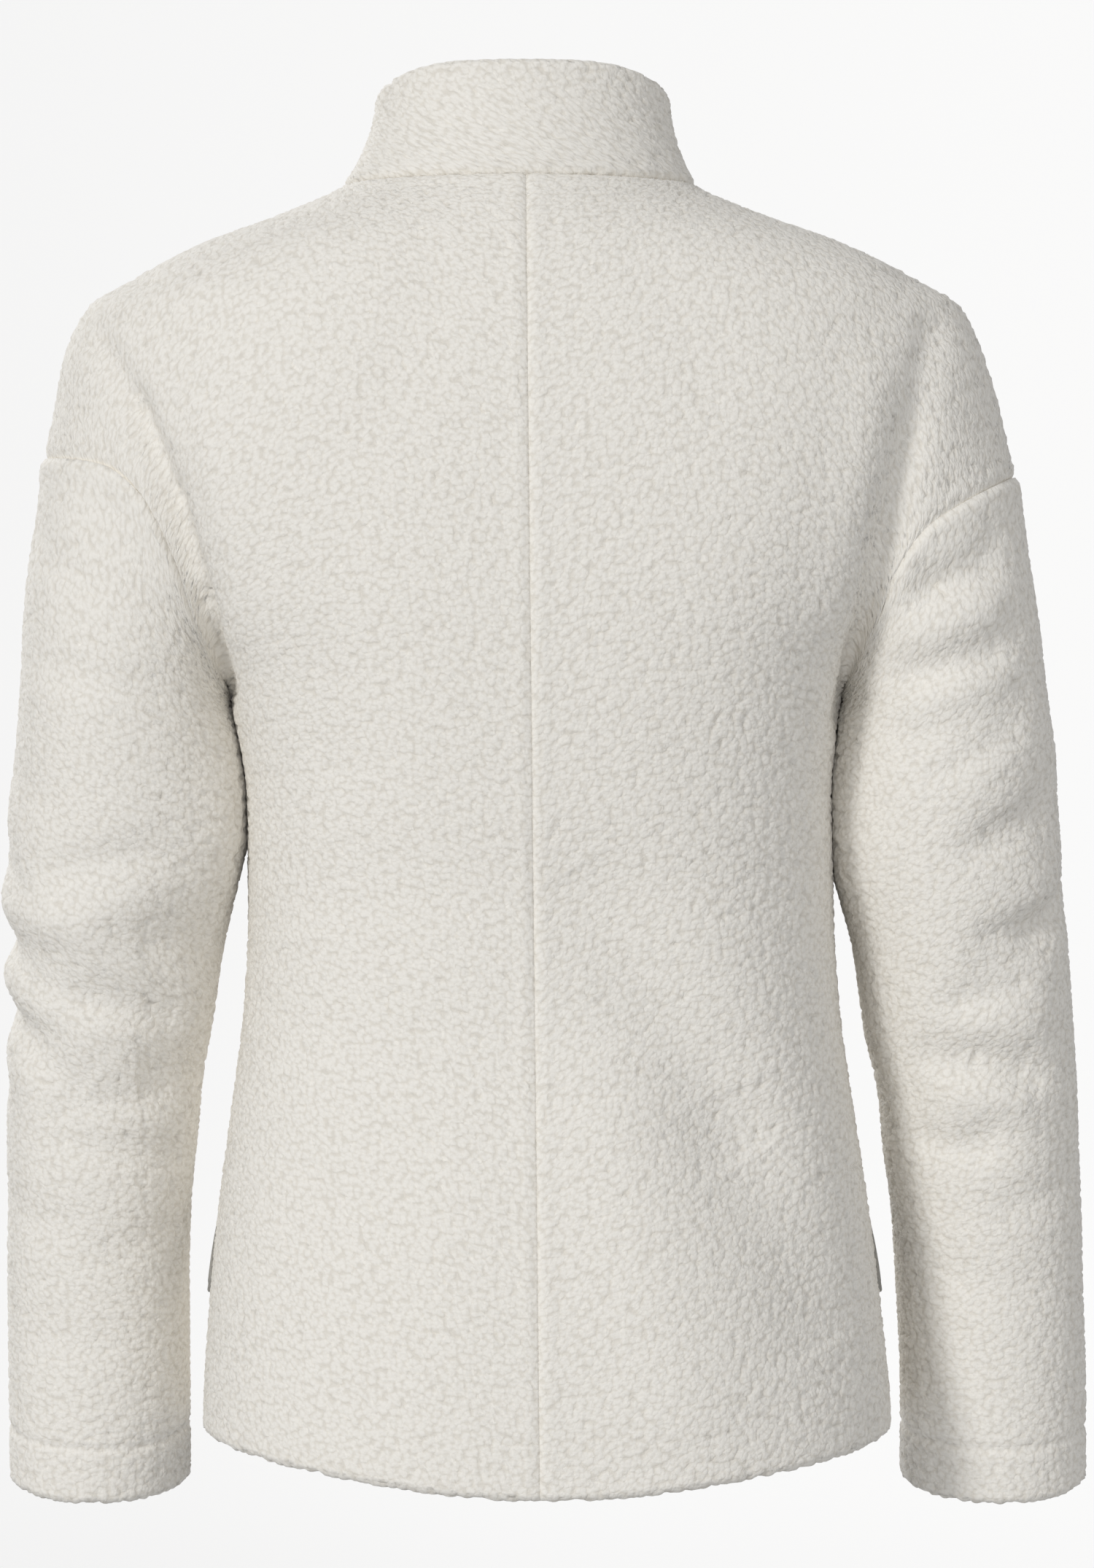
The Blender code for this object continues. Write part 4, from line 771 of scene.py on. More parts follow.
def leaned(edge, near, points):
    """Near the underarm an edge's wall turns with its own piece, away from the other."""
    share = smooth_step((UNDERARM_LEAN_HEIGHT - points[:, 2]) / UNDERARM_LEAN_LENGTH)[:, None]
    near = near.copy()
    near[:, 1] *= np.clip(np.abs(points[:, 1] - MIDDLE_Y) / UNDERARM_LEAN_DEPTH, 0.0, 1.0)
    return unit(edge + near * share)


def collar_line(hand):
    """The neck edge of one half, from the back centre round to the zip."""
    back = neck_line(hand, 1, 0.0)[::-1]
    front = neck_line(hand, -1, ZIP_OPENING_HALF)
    return evened(np.concatenate([back, front[1:]]), COLLAR_COLUMNS)


def collar_grid():
    """Outer surface of the collar: rows up, columns from the right zip edge round."""
    left = collar_line(1)
    right = collar_line(-1)
    base = np.concatenate([right[::-1], left[1:]])
    base[:, 2] += COLLAR_LIFT
    turn = np.arctan2(base[:, 1] - MIDDLE_Y, base[:, 0] - float(torso_value("centre", 0.0)))
    deep = np.where(
        np.sin(turn) > 0.0, COLLAR_TOP_BACK_Y - MIDDLE_Y, MIDDLE_Y - COLLAR_TOP_FRONT_Y
    )
    reach = 1.0 / np.sqrt(
        (np.cos(turn) / COLLAR_TOP_HALF_WIDTH) ** 2 + (np.sin(turn) / deep) ** 2
    )
    forward = smooth_step(0.5 - 0.5 * np.sin(turn) * COLLAR_SLANT)
    top = np.stack(
        [
            COLLAR_TOP_CENTRE + reach * np.cos(turn),
            MIDDLE_Y + reach * np.sin(turn),
            COLLAR_TOP_BACK + (COLLAR_TOP_FRONT - COLLAR_TOP_BACK) * forward,
        ],
        axis=1,
    )
    zip_x = float(back_seam(COLLAR_ZIP_HEIGHT))
    top[0, 0] = zip_x - ZIP_OPENING_HALF
    top[-1, 0] = zip_x + ZIP_OPENING_HALF
    rows = []
    for step in range(COLLAR_ROWS + 1):
        part = step / COLLAR_ROWS
        bend = 1.0 - (1.0 - part) ** COLLAR_FLARE
        row = base + (top - base) * bend
        row[:, 2] = base[:, 2] + (top[:, 2] - base[:, 2]) * part
        rows.append(row)
    return np.array(rows)


def grid_outward(grid):
    """Outward directions of an open grid from its own points."""
    along = np.gradient(grid, axis=1)
    upward = np.gradient(grid, axis=0)
    normal = np.cross(along, upward)
    normal[0, :, 2] = 0.0
    normal /= np.linalg.norm(normal, axis=-1, keepdims=True)
    middle = grid.reshape(-1, 3).mean(axis=0)
    if ((grid - middle) * normal).sum() < 0.0:
        normal = -normal
    return normal


def zip_path():
    """Middle of the zip on the outer surface, from the hem to the collar's top."""
    hem = hem_line(1, -1, ZIP_OPENING_HALF)[-1]
    neck = neck_line(1, -1, ZIP_OPENING_HALF)[-1]
    body = centre_line(1, -1, ZIP_OPENING_HALF, hem, neck)
    collar = collar_grid()[:, -1]
    line = np.concatenate([body[:-2], collar])
    line[:, 0] = back_seam(line[:, 2])
    fine = evened(line, ZIP_LINE_POINTS)
    for _ in range(ZIP_EVEN_ROUNDS):
        fine[1:-1] = 0.25 * fine[:-2] + 0.5 * fine[1:-1] + 0.25 * fine[2:]
    steps = np.linalg.norm(np.diff(fine, axis=0), axis=1)
    lengths = np.concatenate([[0.0], np.cumsum(steps)])
    inside = (lengths > ZIP_BOTTOM_MARGIN) & (lengths < lengths[-1] - ZIP_TOP_MARGIN)
    return fine[inside], float(neck[2])


def path_frames(line):
    """Unit directions across, along and outward at each point of the zip's path."""
    along = unit(np.gradient(line, axis=0))
    across = np.tile(np.array([1.0, 0.0, 0.0]), (len(line), 1))
    across -= along * (across * along).sum(axis=1, keepdims=True)
    across = unit(across)
    out = np.cross(across, along)
    out *= np.sign(-out[:, 1:2])
    return across, along, out


# ------------------------------------------------------------------ fine surfaces
PANEL_ACROSS = 12
PANEL_UP = 12
SLEEVE_ROUND = 10
SLEEVE_DOWN = 8
COLLAR_ROUND = 7
COLLAR_UP = 10
INNER_STEP = 4
FINE_ROUNDS = 5

HEM_ROLL = 0.0028
FRONT_EDGE_ROLL = 0.002
COLLAR_TOP_ROLL = 0.0032
PILE_SEAM_FADE = 0.004
SLEEVE_SEAM_SHARE = 0.8
SLEEVE_FOLD_FADE = 0.03
FOLD_FADE_LENGTH = 0.012
COLLAR_TUCK = 0.0024
SEAM_DIP = 0.0007
SEAM_DIP_WIDTH = 0.0016
SEAM_SWELL = 0.0004
SEAM_SWELL_AT = 0.0055
SEAM_SWELL_WIDTH = 0.003

CUFF_HEM_WIDTH = 0.027
CUFF_STITCH_DIP = 0.0015
CUFF_STITCH_WIDTH = 0.0018

LUMP = 0.0028
PILE_LIFT = 0.0034
PILE_SHADE_SHARE = 0.28
PRESS_TOP = -0.258
PRESS_FADE = 0.008
PRESS_GAP = 0.0016
EDGE_KNOB_LENGTH = 0.0035
EDGE_KNOB_SHARE = 0.42
VALLEY_SEAM_SHARE = 0.15
VALLEY_TOP = -0.140
VALLEY_TOP_FADE = 0.030
VALLEY_LOW = -0.300
VALLEY_LOW_FADE = 0.040
PILE_UV = "cloth"
# Painted shade: the pile's hollows between the lumps are coloured darker and warmer than the lump
# tops.
PILE_HOLLOW_PAINTED_SHADE = (0.820, 0.785, 0.720)
PILE_TOP = (0.915, 0.890, 0.840)
LUMP_NARROWING = 0.93
LUMP_FLATTENING = 1.09
WORN_SHADE = 0.86
LUMP_PITCH = 0.0042
LUMP_STRETCH = (1.08, 0.92)
LUMP_SCATTER = 0.9
SEAM_OVERLAP = -0.0004

# Finer folds, only on the fine surfaces; columns as in BODY_FOLD_COLUMNS. Above the
# underarm they run over the armhole seam, so both pieces follow them.
FINE_BODY_FOLDS = (
    (1, 0.213, -0.072, 0.192, -0.107, 0.0080, -0.0044),
    (1, 0.192, -0.107, 0.174, -0.152, 0.0068, -0.0086),
    (1, 0.174, -0.152, 0.159, -0.205, 0.0066, -0.0100),
    (1, 0.159, -0.205, 0.150, -0.250, 0.0066, -0.0085),
    (1, 0.156, -0.118, 0.136, -0.225, 0.012, 0.0034),
    (1, -0.193, -0.066, -0.182, -0.118, 0.009, -0.0040),
    (1, -0.182, -0.118, -0.170, -0.170, 0.0085, -0.0072),
    (1, -0.170, -0.170, -0.158, -0.226, 0.0080, -0.0085),
    (1, -0.158, -0.226, -0.150, -0.262, 0.007, -0.0060),
    (1, -0.162, -0.090, -0.143, -0.215, 0.012, 0.0034),
    (1, -0.030, -0.345, -0.100, -0.470, 0.020, -0.0012),
    (1, -0.092, -0.450, -0.142, -0.570, 0.018, -0.0008),
    (1, -0.080, -0.330, -0.120, -0.430, 0.020, 0.0010),
    (1, -0.020, -0.420, -0.085, -0.590, 0.030, 0.0010),
    (1, 0.118, -0.300, 0.134, -0.400, 0.014, -0.0014),
    (1, 0.060, -0.420, 0.080, -0.590, 0.024, -0.0014),
    (1, 0.104, -0.470, 0.126, -0.590, 0.016, -0.0012),
    (-1, 0.205, -0.075, 0.186, -0.118, 0.010, -0.0022),
    (-1, 0.186, -0.118, 0.160, -0.200, 0.009, -0.0034),
    (-1, 0.160, -0.200, 0.150, -0.250, 0.008, -0.0034),
    (-1, -0.196, -0.074, -0.182, -0.120, 0.010, -0.0020),
    (-1, -0.182, -0.120, -0.160, -0.200, 0.009, -0.0036),
    (-1, -0.160, -0.200, -0.151, -0.250, 0.008, -0.0034),
    (-1, 0.050, -0.060, 0.100, -0.150, 0.016, -0.0014),
    (-1, -0.050, -0.070, -0.095, -0.150, 0.016, -0.0012),
    (-1, 0.120, -0.300, 0.060, -0.330, 0.012, -0.0018),
    (-1, -0.125, -0.310, -0.070, -0.345, 0.012, -0.0020),
    (-1, 0.105, -0.560, 0.070, -0.450, 0.016, -0.0016),
    (-1, -0.100, -0.570, -0.070, -0.470, 0.016, -0.0014),
)

# Columns as in SLEEVE_FOLD_COLUMNS.
FINE_FOLDS_LEFT = (
    (24, -0.168, 78, -0.196, 0.010, -0.0018),
    (50, -0.232, 112, -0.250, 0.010, -0.0020),
    (14, -0.285, 70, -0.300, 0.011, -0.0014),
    (-15, -0.344, 42, -0.350, 0.009, 0.0020),
    (-10, -0.364, 74, -0.374, 0.009, -0.0022),
    (-15, -0.381, 40, -0.387, 0.009, 0.0020),
    (-10, -0.402, 68, -0.414, 0.009, -0.0022),
    (-10, -0.428, 50, -0.435, 0.010, 0.0018),
    (66, -0.334, 130, -0.322, 0.009, -0.0024),
    (74, -0.396, 134, -0.408, 0.008, -0.0028),
    (60, -0.452, 132, -0.440, 0.009, -0.0028),
    (10, -0.496, 74, -0.510, 0.011, -0.0016),
    (84, -0.522, 136, -0.506, 0.010, -0.0016),
    (30, -0.560, 92, -0.566, 0.012, -0.0010),
    (-40, -0.330, -118, -0.348, 0.010, -0.0030),
    (-34, -0.372, -104, -0.384, 0.009, -0.0032),
    (-44, -0.414, -124, -0.408, 0.010, -0.0028),
    (-60, -0.462, -132, -0.478, 0.011, -0.0020),
    (-50, -0.200, -104, -0.226, 0.011, -0.0022),
    (-150, -0.255, -152, -0.340, 0.018, 0.0105),
    (170, -0.250, 172, -0.345, 0.022, 0.0034),
)
FINE_FOLDS_RIGHT = (
    (100, -0.182, 52, -0.160, 0.009, 0.0020),
    (104, -0.201, 60, -0.186, 0.0075, -0.0034),
    (106, -0.222, 62, -0.204, 0.009, 0.0020),
    (110, -0.242, 64, -0.228, 0.008, -0.0032),
    (60, -0.262, 106, -0.288, 0.008, -0.0030),
    (36, -0.296, 96, -0.326, 0.009, -0.0030),
    (28, -0.336, 60, -0.346, 0.010, 0.0018),
    (26, -0.352, 88, -0.366, 0.008, -0.0034),
    (60, -0.388, 104, -0.398, 0.008, -0.0030),
    (50, -0.408, 96, -0.412, 0.010, 0.0020),
    (52, -0.436, 106, -0.430, 0.008, -0.0034),
    (82, -0.472, 126, -0.464, 0.008, -0.0026),
    (30, -0.486, 80, -0.500, 0.010, -0.0018),
    (60, -0.540, 118, -0.530, 0.011, -0.0014),
    (-36, -0.312, -112, -0.330, 0.010, -0.0030),
    (-44, -0.360, -116, -0.376, 0.009, -0.0032),
    (-50, -0.408, -126, -0.402, 0.010, -0.0030),
    (-48, -0.196, -100, -0.222, 0.011, -0.0024),
    (-150, -0.255, -152, -0.340, 0.018, 0.0105),
    (170, -0.250, 172, -0.345, 0.022, 0.0034),
    (-60, -0.456, -130, -0.470, 0.011, -0.0020),
)


def scattered(cells, seed):
    """Even pseudo-random numbers for cells, the same in every run."""
    mixed = np.sin(cells[..., 0] * 127.1 + cells[..., 1] * 311.7 + seed * 74.7) * 43758.5453
    return mixed - np.floor(mixed)


def vertex_pile(flat, seed):
    """Height of rounded, packed lumps over the flat pattern of a piece."""
    place = flat / (LUMP_PITCH * np.array(LUMP_STRETCH))
    base = np.floor(place)
    nearest = np.full(flat.shape[:-1], 9.0)
    for step_u in (-1.0, 0.0, 1.0):
        for step_v in (-1.0, 0.0, 1.0):
            cell = base + np.array([step_u, step_v])
            middle = cell + 0.5
            middle[..., 0] += LUMP_SCATTER * (scattered(cell, seed) - 0.5)
            middle[..., 1] += LUMP_SCATTER * (scattered(cell, seed + 5) - 0.5)
            nearest = np.minimum(nearest, ((place - middle) ** 2).sum(axis=-1))
    return PILE_LIFT * (0.5 - np.clip(nearest, 0.0, 1.0))


def smooth_between(points, parts, closed):
    """Points along the first axis, refined by a smooth curve through them."""
    if closed:
        padded = np.concatenate([points[-1:], points, points[:2]])
    else:
        first = 2.0 * points[:1] - points[1:2]
        last = 2.0 * points[-1:] - points[-2:-1]
        padded = np.concatenate([first, points, last])
    a, b, c, d = padded[:-3], padded[1:-2], padded[2:-1], padded[3:]
    pieces = []
    for step in range(parts):
        t = step / parts
        pieces.append(
            0.5
            * (
                2.0 * b
                + (c - a) * t
                + (2.0 * a - 5.0 * b + 4.0 * c - d) * t ** 2
                + (3.0 * b - a - 3.0 * c + d) * t ** 3
            )
        )
    fine = np.stack(pieces, axis=1).reshape((-1,) + points.shape[1:])
    if closed:
        return fine
    return np.concatenate([fine, points[-1:]])


def refined(grid, up, across, closed):
    """A grid with more rows and columns between its own."""
    tall = smooth_between(grid, up, False)
    wide = smooth_between(np.swapaxes(tall, 0, 1), across, closed)
    return np.ascontiguousarray(np.swapaxes(wide, 0, 1))


def set_edge(grid, index, line, reach, axis):
    """An edge put exactly on its line; the change fades out over a few rows."""
    grid = np.swapaxes(grid, 0, axis)
    last = index != 0
    edge = -1 if last else 0
    change = line - grid[edge]
    for step in range(reach):
        row = -1 - step if last else step
        grid[row] = grid[row] + change * (1.0 - step / reach)
    return np.swapaxes(grid, 0, axis)


def fine_panel(hand, face):
    """Fine outer surface of one back or front panel, and its outward directions."""
    grid = refined(panel_grid(hand, face), PANEL_UP, PANEL_ACROSS, False)
    bottom, top, right = panel_edges(hand, face, PANEL_UP, PANEL_ACROSS)
    grid = set_edge(grid, 0, bottom, PANEL_UP, 0)
    grid = set_edge(grid, -1, top, PANEL_UP, 0)
    grid = set_edge(grid, -1, right, PANEL_ACROSS, 1)
    distance = lambda p: panel_distance(p, hand)
    grid[1:-1, 1:-1] = settled(grid[1:-1, 1:-1], distance, FINE_ROUNDS)
    normals = grid_normals(grid, distance)
    rows = SIDE_ROWS * PANEL_UP
    near = normals[rows:, -PANEL_ACROSS]
    normals[rows:, -1] = outward(grid[rows:, -1], lambda p: joined_distance(p, hand))
    normals[rows:, -1] = leaned(normals[rows:, -1], near, grid[rows:, -1])
    sides = ["last_column", "last_row"]
    if face > 0:
        sides.append("first_column")
    return drawn_in(grid, normals, SEAM_OVERLAP, sides), normals


def line_length(line):
    """Length of a line of points."""
    return float(np.linalg.norm(np.diff(line, axis=0), axis=1).sum())


def edge_lengths(grid, edge, axis):
    """Distance of every grid point from an edge, along the grid."""
    turned = np.swapaxes(grid, 0, axis)
    if edge != 0:
        turned = turned[::-1]
    steps = np.linalg.norm(np.diff(turned, axis=0), axis=-1)
    total = np.concatenate([np.zeros((1,) + steps.shape[1:]), np.cumsum(steps, axis=0)])
    if edge != 0:
        total = total[::-1]
    return np.swapaxes(total, 0, axis)


def seam_profile(far):
    """Height beside a sewn seam: drawn in at the stitches, swollen next to them."""
    dip = -SEAM_DIP * np.exp(-((far / SEAM_DIP_WIDTH) ** 2))
    swell = SEAM_SWELL * np.exp(-(((far - SEAM_SWELL_AT) / SEAM_SWELL_WIDTH) ** 2))
    return dip + swell


def roll_profile(far, radius):
    """Height of a turned edge: round over the last few millimetres."""
    part = np.clip(1.0 - far / radius, 0.0, 1.0)
    return -radius * (1.0 - np.sqrt(np.clip(1.0 - part * part, 0.0, 1.0)))


def seam_share(height, far):
    """Folds fade out where the two walls part near the underarm's seam."""
    low = smooth_step((UNDERARM_LEAN_HEIGHT - height) / UNDERARM_LEAN_LENGTH)
    return 1.0 - low * (1.0 - smooth_step(far / FOLD_FADE_LENGTH))


def flat_pattern(grid, closed):
    """Flat place of every grid point, in metres, and the length round each row."""
    around = np.concatenate([grid, grid[:, :1]], axis=1) if closed else grid
    steps = np.linalg.norm(np.diff(around, axis=1), axis=-1)
    total = np.concatenate([np.zeros((len(grid), 1)), np.cumsum(steps, axis=1)], axis=1)
    round_length = total[:, -1]
    across = total[:, : grid.shape[1]]
    across = across - across[:, grid.shape[1] // 2][:, None] if closed else across
    upward = edge_lengths(grid, 0, 0)
    upward = np.tile(upward.mean(axis=1)[:, None], (1, grid.shape[1]))
    return np.stack([across, upward], axis=-1), round_length


def raised(grid, normals, height):
    """A grid moved out along its normals."""
    return grid + normals * height[:, :, None]


def edge_knobs(grid, lumps, far):
    """Lets the pile stick out past a cut or turned lower edge."""
    grid[..., 2] -= EDGE_KNOB_SHARE * lumps * (1.0 - smooth_step(far / EDGE_KNOB_LENGTH))
    return grid


def valley_share(height):
    """How much of the armhole's seam still shows: little of it in the deep valley."""
    upper = smooth_step((VALLEY_TOP - height) / VALLEY_TOP_FADE)
    lower = smooth_step((height - VALLEY_LOW) / VALLEY_LOW_FADE)
    return 1.0 - (1.0 - VALLEY_SEAM_SHARE) * upper * lower


def shade_normals(mesh, soft, closed):
    """Shading directions of a softer pile, as fibres scatter the light between the lumps."""
    rows, cols = soft.shape[:2]
    if closed:
        round_step = np.roll(soft, -1, axis=1) - np.roll(soft, 1, axis=1)
    else:
        round_step = np.gradient(soft, axis=1)
    facing = np.cross(round_step, np.gradient(soft, axis=0))
    facing /= np.maximum(np.linalg.norm(facing, axis=-1, keepdims=True), 1e-12)
    directions = np.empty(len(mesh.vertices) * 3)
    mesh.vertices.foreach_get("normal", directions)
    directions = directions.reshape(-1, 3)
    outer = directions[: rows * cols].reshape(soft.shape)
    facing *= np.where((facing * outer).sum(axis=-1) < 0.0, -1.0, 1.0)[:, :, None]
    inside = (slice(1, -1), slice(None) if closed else slice(1, -1))
    outer[inside] = facing[inside]
    mesh.normals_split_custom_set_from_vertices(directions.tolist())


def lay_pattern(mesh, places, rounds):
    """Write the flat places as a UV layer; faces over the closing line stay whole."""
    layer = mesh.uv_layers.new(name=PILE_UV)
    loops = np.zeros(len(mesh.loops), dtype=int)
    mesh.loops.foreach_get("vertex_index", loops)
    uv = places[loops].copy()
    if rounds is not None:
        starts = np.zeros(len(mesh.polygons), dtype=int)
        counts = np.zeros(len(mesh.polygons), dtype=int)
        mesh.polygons.foreach_get("loop_start", starts)
        mesh.polygons.foreach_get("loop_total", counts)
        high = np.maximum.reduceat(uv[:, 0], starts)
        low = np.minimum.reduceat(uv[:, 0], starts)
        wraps = np.repeat(high - low > 0.1, counts)
        behind = wraps & (uv[:, 0] < 0.0)
        uv[behind, 0] += rounds[loops][behind]
    layer.data.foreach_set("uv", uv.ravel())


def placed(name, points, faces, smooth, material):
    """A piece that rides on the jacket, with all its faces turned outward."""
    mesh = bpy.data.meshes.new(name)
    mesh.from_pydata(np.asarray(points, dtype=float).tolist(), [], faces)
    mesh.update()
    work = bmesh.new()
    work.from_mesh(mesh)
    bmesh.ops.recalc_face_normals(work, faces=work.faces)
    work.to_mesh(mesh)
    work.free()
    if smooth:
        mesh.polygons.foreach_set("use_smooth", [True] * len(mesh.polygons))
    thing = bpy.data.objects.new(name, mesh)
    bpy.context.scene.collection.objects.link(thing)
    mesh.materials.append(material)
    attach(thing, "jacket")
    return thing


def point_numbers(rows, cols, closed, first):
    """Numbers of a grid's points; a closed grid ends with its first column again."""
    numbers = first + np.arange(rows * cols).reshape(rows, cols)
    return np.concatenate([numbers, numbers[:, :1]], axis=1) if closed else numbers


def grid_quads(numbers):
    """Faces of a grid with four corners each."""
    corners = [numbers[:-1, :-1], numbers[:-1, 1:], numbers[1:, 1:], numbers[1:, :-1]]
    return np.stack(corners, axis=-1).reshape(-1, 4).tolist()


def edge_strip(fine, low, flip):
    """Triangles between a fine edge and the coarse edge under it."""
    fine, low = fine.tolist(), low.tolist()
    half = INNER_STEP // 2
    faces = []
    for index, (here, ahead) in enumerate(zip(low[:-1], low[1:])):
        start = index * INNER_STEP
        for step in range(INNER_STEP):
            apex = here if step < half else ahead
            faces.append([fine[start + step], fine[start + step + 1], apex])
        faces.append([fine[start + half], here, ahead])
    return [[b, a, c] for a, b, c in faces] if flip else faces


def shell(name, node, outer, soft, normals, wall, closed, material, pattern, rounds):
    """A thin shell: a fine outer surface and a coarser inner one, joined round the edges."""
    rows, cols = outer.shape[:2]
    picks = np.ix_(np.arange(0, rows, INNER_STEP), np.arange(0, cols, INNER_STEP))
    inner = (outer - normals * wall)[picks]
    points = np.concatenate([outer.reshape(-1, 3), inner.reshape(-1, 3)])
    fine = point_numbers(rows, cols, closed, 0)
    low = point_numbers(*inner.shape[:2], closed, rows * cols)
    faces = grid_quads(fine) + [quad[::-1] for quad in grid_quads(low)]
    faces += edge_strip(fine[0], low[0], True)
    faces += edge_strip(fine[-1], low[-1], False)
    if not closed:
        faces += edge_strip(fine[:, 0], low[:, 0], False)
        faces += edge_strip(fine[:, -1], low[:, -1], True)
    thing = placed(name, points, faces, True, material)
    places = np.concatenate([pattern.reshape(-1, 2), pattern[picks].reshape(-1, 2)])
    round_lengths = None
    if closed:
        low_rounds = np.repeat(rounds[::INNER_STEP], inner.shape[1])
        round_lengths = np.concatenate([np.repeat(rounds, cols), low_rounds])
    lay_pattern(thing.data, places, round_lengths)
    shade_normals(thing.data, soft, closed)
    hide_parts(node)
    return thing


def panel_piece(name, node, hand, face, material):
    """One finished back or front panel."""
    grid, normals = fine_panel(hand, face)
    centre = edge_lengths(grid, 0, 1)
    outer = edge_lengths(grid, -1, 1)
    top = edge_lengths(grid, -1, 0)
    hem = edge_lengths(grid, 0, 0)
    height = seam_profile(centre) if face > 0 else roll_profile(centre, FRONT_EDGE_ROLL)
    height += seam_profile(outer) * valley_share(grid[..., 2]) + seam_profile(top)
    height += roll_profile(hem, HEM_ROLL)
    folds = body_folds(grid.reshape(-1, 3), FINE_BODY_FOLDS).reshape(height.shape)
    height += folds * seam_share(grid[..., 2], outer)
    pattern, rounds = flat_pattern(grid, False)
    lumps = vertex_pile(pattern, 2 + hand + 3 * face)
    for far in (centre, outer, top):
        lumps *= smooth_step(far / PILE_SEAM_FADE)
    soft = raised(grid, normals, height + PILE_SHADE_SHARE * lumps)
    grid = raised(grid, normals, height + lumps)
    grid = edge_knobs(grid, lumps, hem)
    return shell(
        name, node, grid, soft, normals, FLEECE_WALL, False, material, pattern, rounds
    )


def kept_clear(grid, hand):
    """The sleeve pressed back where it would touch the body below the underarm."""
    flat = grid.reshape(-1, 3)
    low = np.flatnonzero(flat[:, 2] < PRESS_TOP)
    apart = panel_distance(flat[low], hand)
    tight = apart < PRESS_GAP
    low, apart = low[tight], apart[tight]
    if len(low):
        fade = smooth_step((PRESS_TOP - flat[low, 2]) / PRESS_FADE)
        away = outward(flat[low], lambda p: panel_distance(p, hand))
        flat[low] += away * ((PRESS_GAP - apart) * fade)[:, None]
    return flat.reshape(grid.shape)


def sleeve_piece(name, node, hand, material):
    """One finished sleeve."""
    coarse = sleeve_grid(hand)
    grid = refined(coarse, SLEEVE_DOWN, SLEEVE_ROUND, True)
    ring = armhole_ring(hand, ARMHOLE_ROWS * SLEEVE_ROUND)
    grid = set_edge(grid, 0, ring, SLEEVE_DOWN, 0)
    distance = lambda p: sleeve_distance(p, hand)
    grid[1:] = settled(grid[1:], distance, FINE_ROUNDS)
    normals = grid_normals(grid, distance)
    normals[0] = outward(grid[0], lambda p: joined_distance(p, hand))
    normals[0] = leaned(normals[0], normals[SLEEVE_DOWN], grid[0])
    step = sleeve_step(grid[0], hand) * valley_share(grid[0, :, 2])
    grid = drawn_in(grid, normals, SEAM_OVERLAP, ["first_row"], True)
    grid[0] += normals[0] * step[:, None]
    top = edge_lengths(grid, 0, 0)
    cuff = edge_lengths(grid, -1, 0)
    height = seam_profile(top) * SLEEVE_SEAM_SHARE * valley_share(grid[..., 2])
    height = height + roll_profile(cuff, HEM_ROLL)
    height += -CUFF_STITCH_DIP * np.exp(-(((cuff - CUFF_HEM_WIDTH) / CUFF_STITCH_WIDTH) ** 2))
    pattern, rounds = flat_pattern(grid, True)
    lumps = vertex_pile(pattern, 11 + hand) * smooth_step(top / PILE_SEAM_FADE)
    flat = grid.reshape(-1, 3)
    rows = FINE_FOLDS_LEFT if hand > 0 else FINE_FOLDS_RIGHT
    below = smooth_step(-(flat[:, 2] - armhole_height(hand, np.abs(flat[:, 0]))) / SLEEVE_FOLD_FADE)
    folds = sleeve_folds(flat, hand, rows) * below
    folds = folds + body_folds(flat, FINE_BODY_FOLDS) * underarm_rise(flat)
    height += folds.reshape(height.shape) * seam_share(grid[..., 2], top)
    soft = raised(grid, normals, height + PILE_SHADE_SHARE * lumps)
    grid = raised(grid, normals, height + lumps)
    grid = edge_knobs(grid, lumps, cuff)
    grid = kept_clear(grid, hand)
    return shell(name, node, grid, soft, normals, FLEECE_WALL, True, material, pattern, rounds)


def collar_piece(name, node, material):
    """The finished collar."""
    grid = refined(collar_grid(), COLLAR_UP, COLLAR_ROUND, False)
    grid[0, :, 2] -= COLLAR_TUCK
    normals = grid_outward(grid)
    base = edge_lengths(grid, 0, 0)
    top = edge_lengths(grid, -1, 0)
    left = edge_lengths(grid, 0, 1)
    right = edge_lengths(grid, -1, 1)
    height = seam_profile(base) + roll_profile(top, COLLAR_TOP_ROLL)
    height += roll_profile(left, FRONT_EDGE_ROLL) + roll_profile(right, FRONT_EDGE_ROLL)
    pattern, rounds = flat_pattern(grid, False)
    lumps = vertex_pile(pattern, 17) * smooth_step(base / PILE_SEAM_FADE)
    soft = raised(grid, normals, height + PILE_SHADE_SHARE * lumps)
    grid = raised(grid, normals, height + lumps)
    return shell(
        name, node, grid, soft, normals, COLLAR_WALL, False, material, pattern, rounds
    )


# ------------------------------------------------------------------ materials
def started(name):
    """A node material with its tree and shader."""
    material = bpy.data.materials.new(name)
    material.use_nodes = True
    tree = material.node_tree
    return material, tree, tree.nodes["Principled BSDF"]


def new_node(tree, kind, settings, values):
    """A node with its settings and its unlinked inputs."""
    node = tree.nodes.new("ShaderNode" + kind)
    for name, value in settings.items():
        setattr(node, name, value)
    for name, value in values.items():
        node.inputs[name].default_value = value
    return node


def maths(tree, kind, first, second):
    """A math node with two inputs, each a socket or a number."""
    node = new_node(tree, "Math", {"operation": kind}, {})
    for place, value in ((0, first), (1, second)):
        if isinstance(value, (int, float)):
            node.inputs[place].default_value = value
        else:
            tree.links.new(value, node.inputs[place])
    return node.outputs["Value"]


def two_colours(tree, value, low, high, places):
    """A colour between two, by a value from 0 to 1."""
    ramp = new_node(tree, "ValToRGB", {}, {})
    for end, colour, place in zip(ramp.color_ramp.elements, (low, high), places):
        end.position = place
        end.color = (*colour, 1.0)
    tree.links.new(value, ramp.inputs["Fac"])
    return ramp.outputs["Color"]


def bumped(tree, shader, height, strength, distance):
    """A bump from a height into the shader."""
    bump = new_node(tree, "Bump", {}, {"Strength": strength, "Distance": distance})
    tree.links.new(height, bump.inputs["Height"])
    tree.links.new(bump.outputs["Normal"], shader.inputs["Normal"])


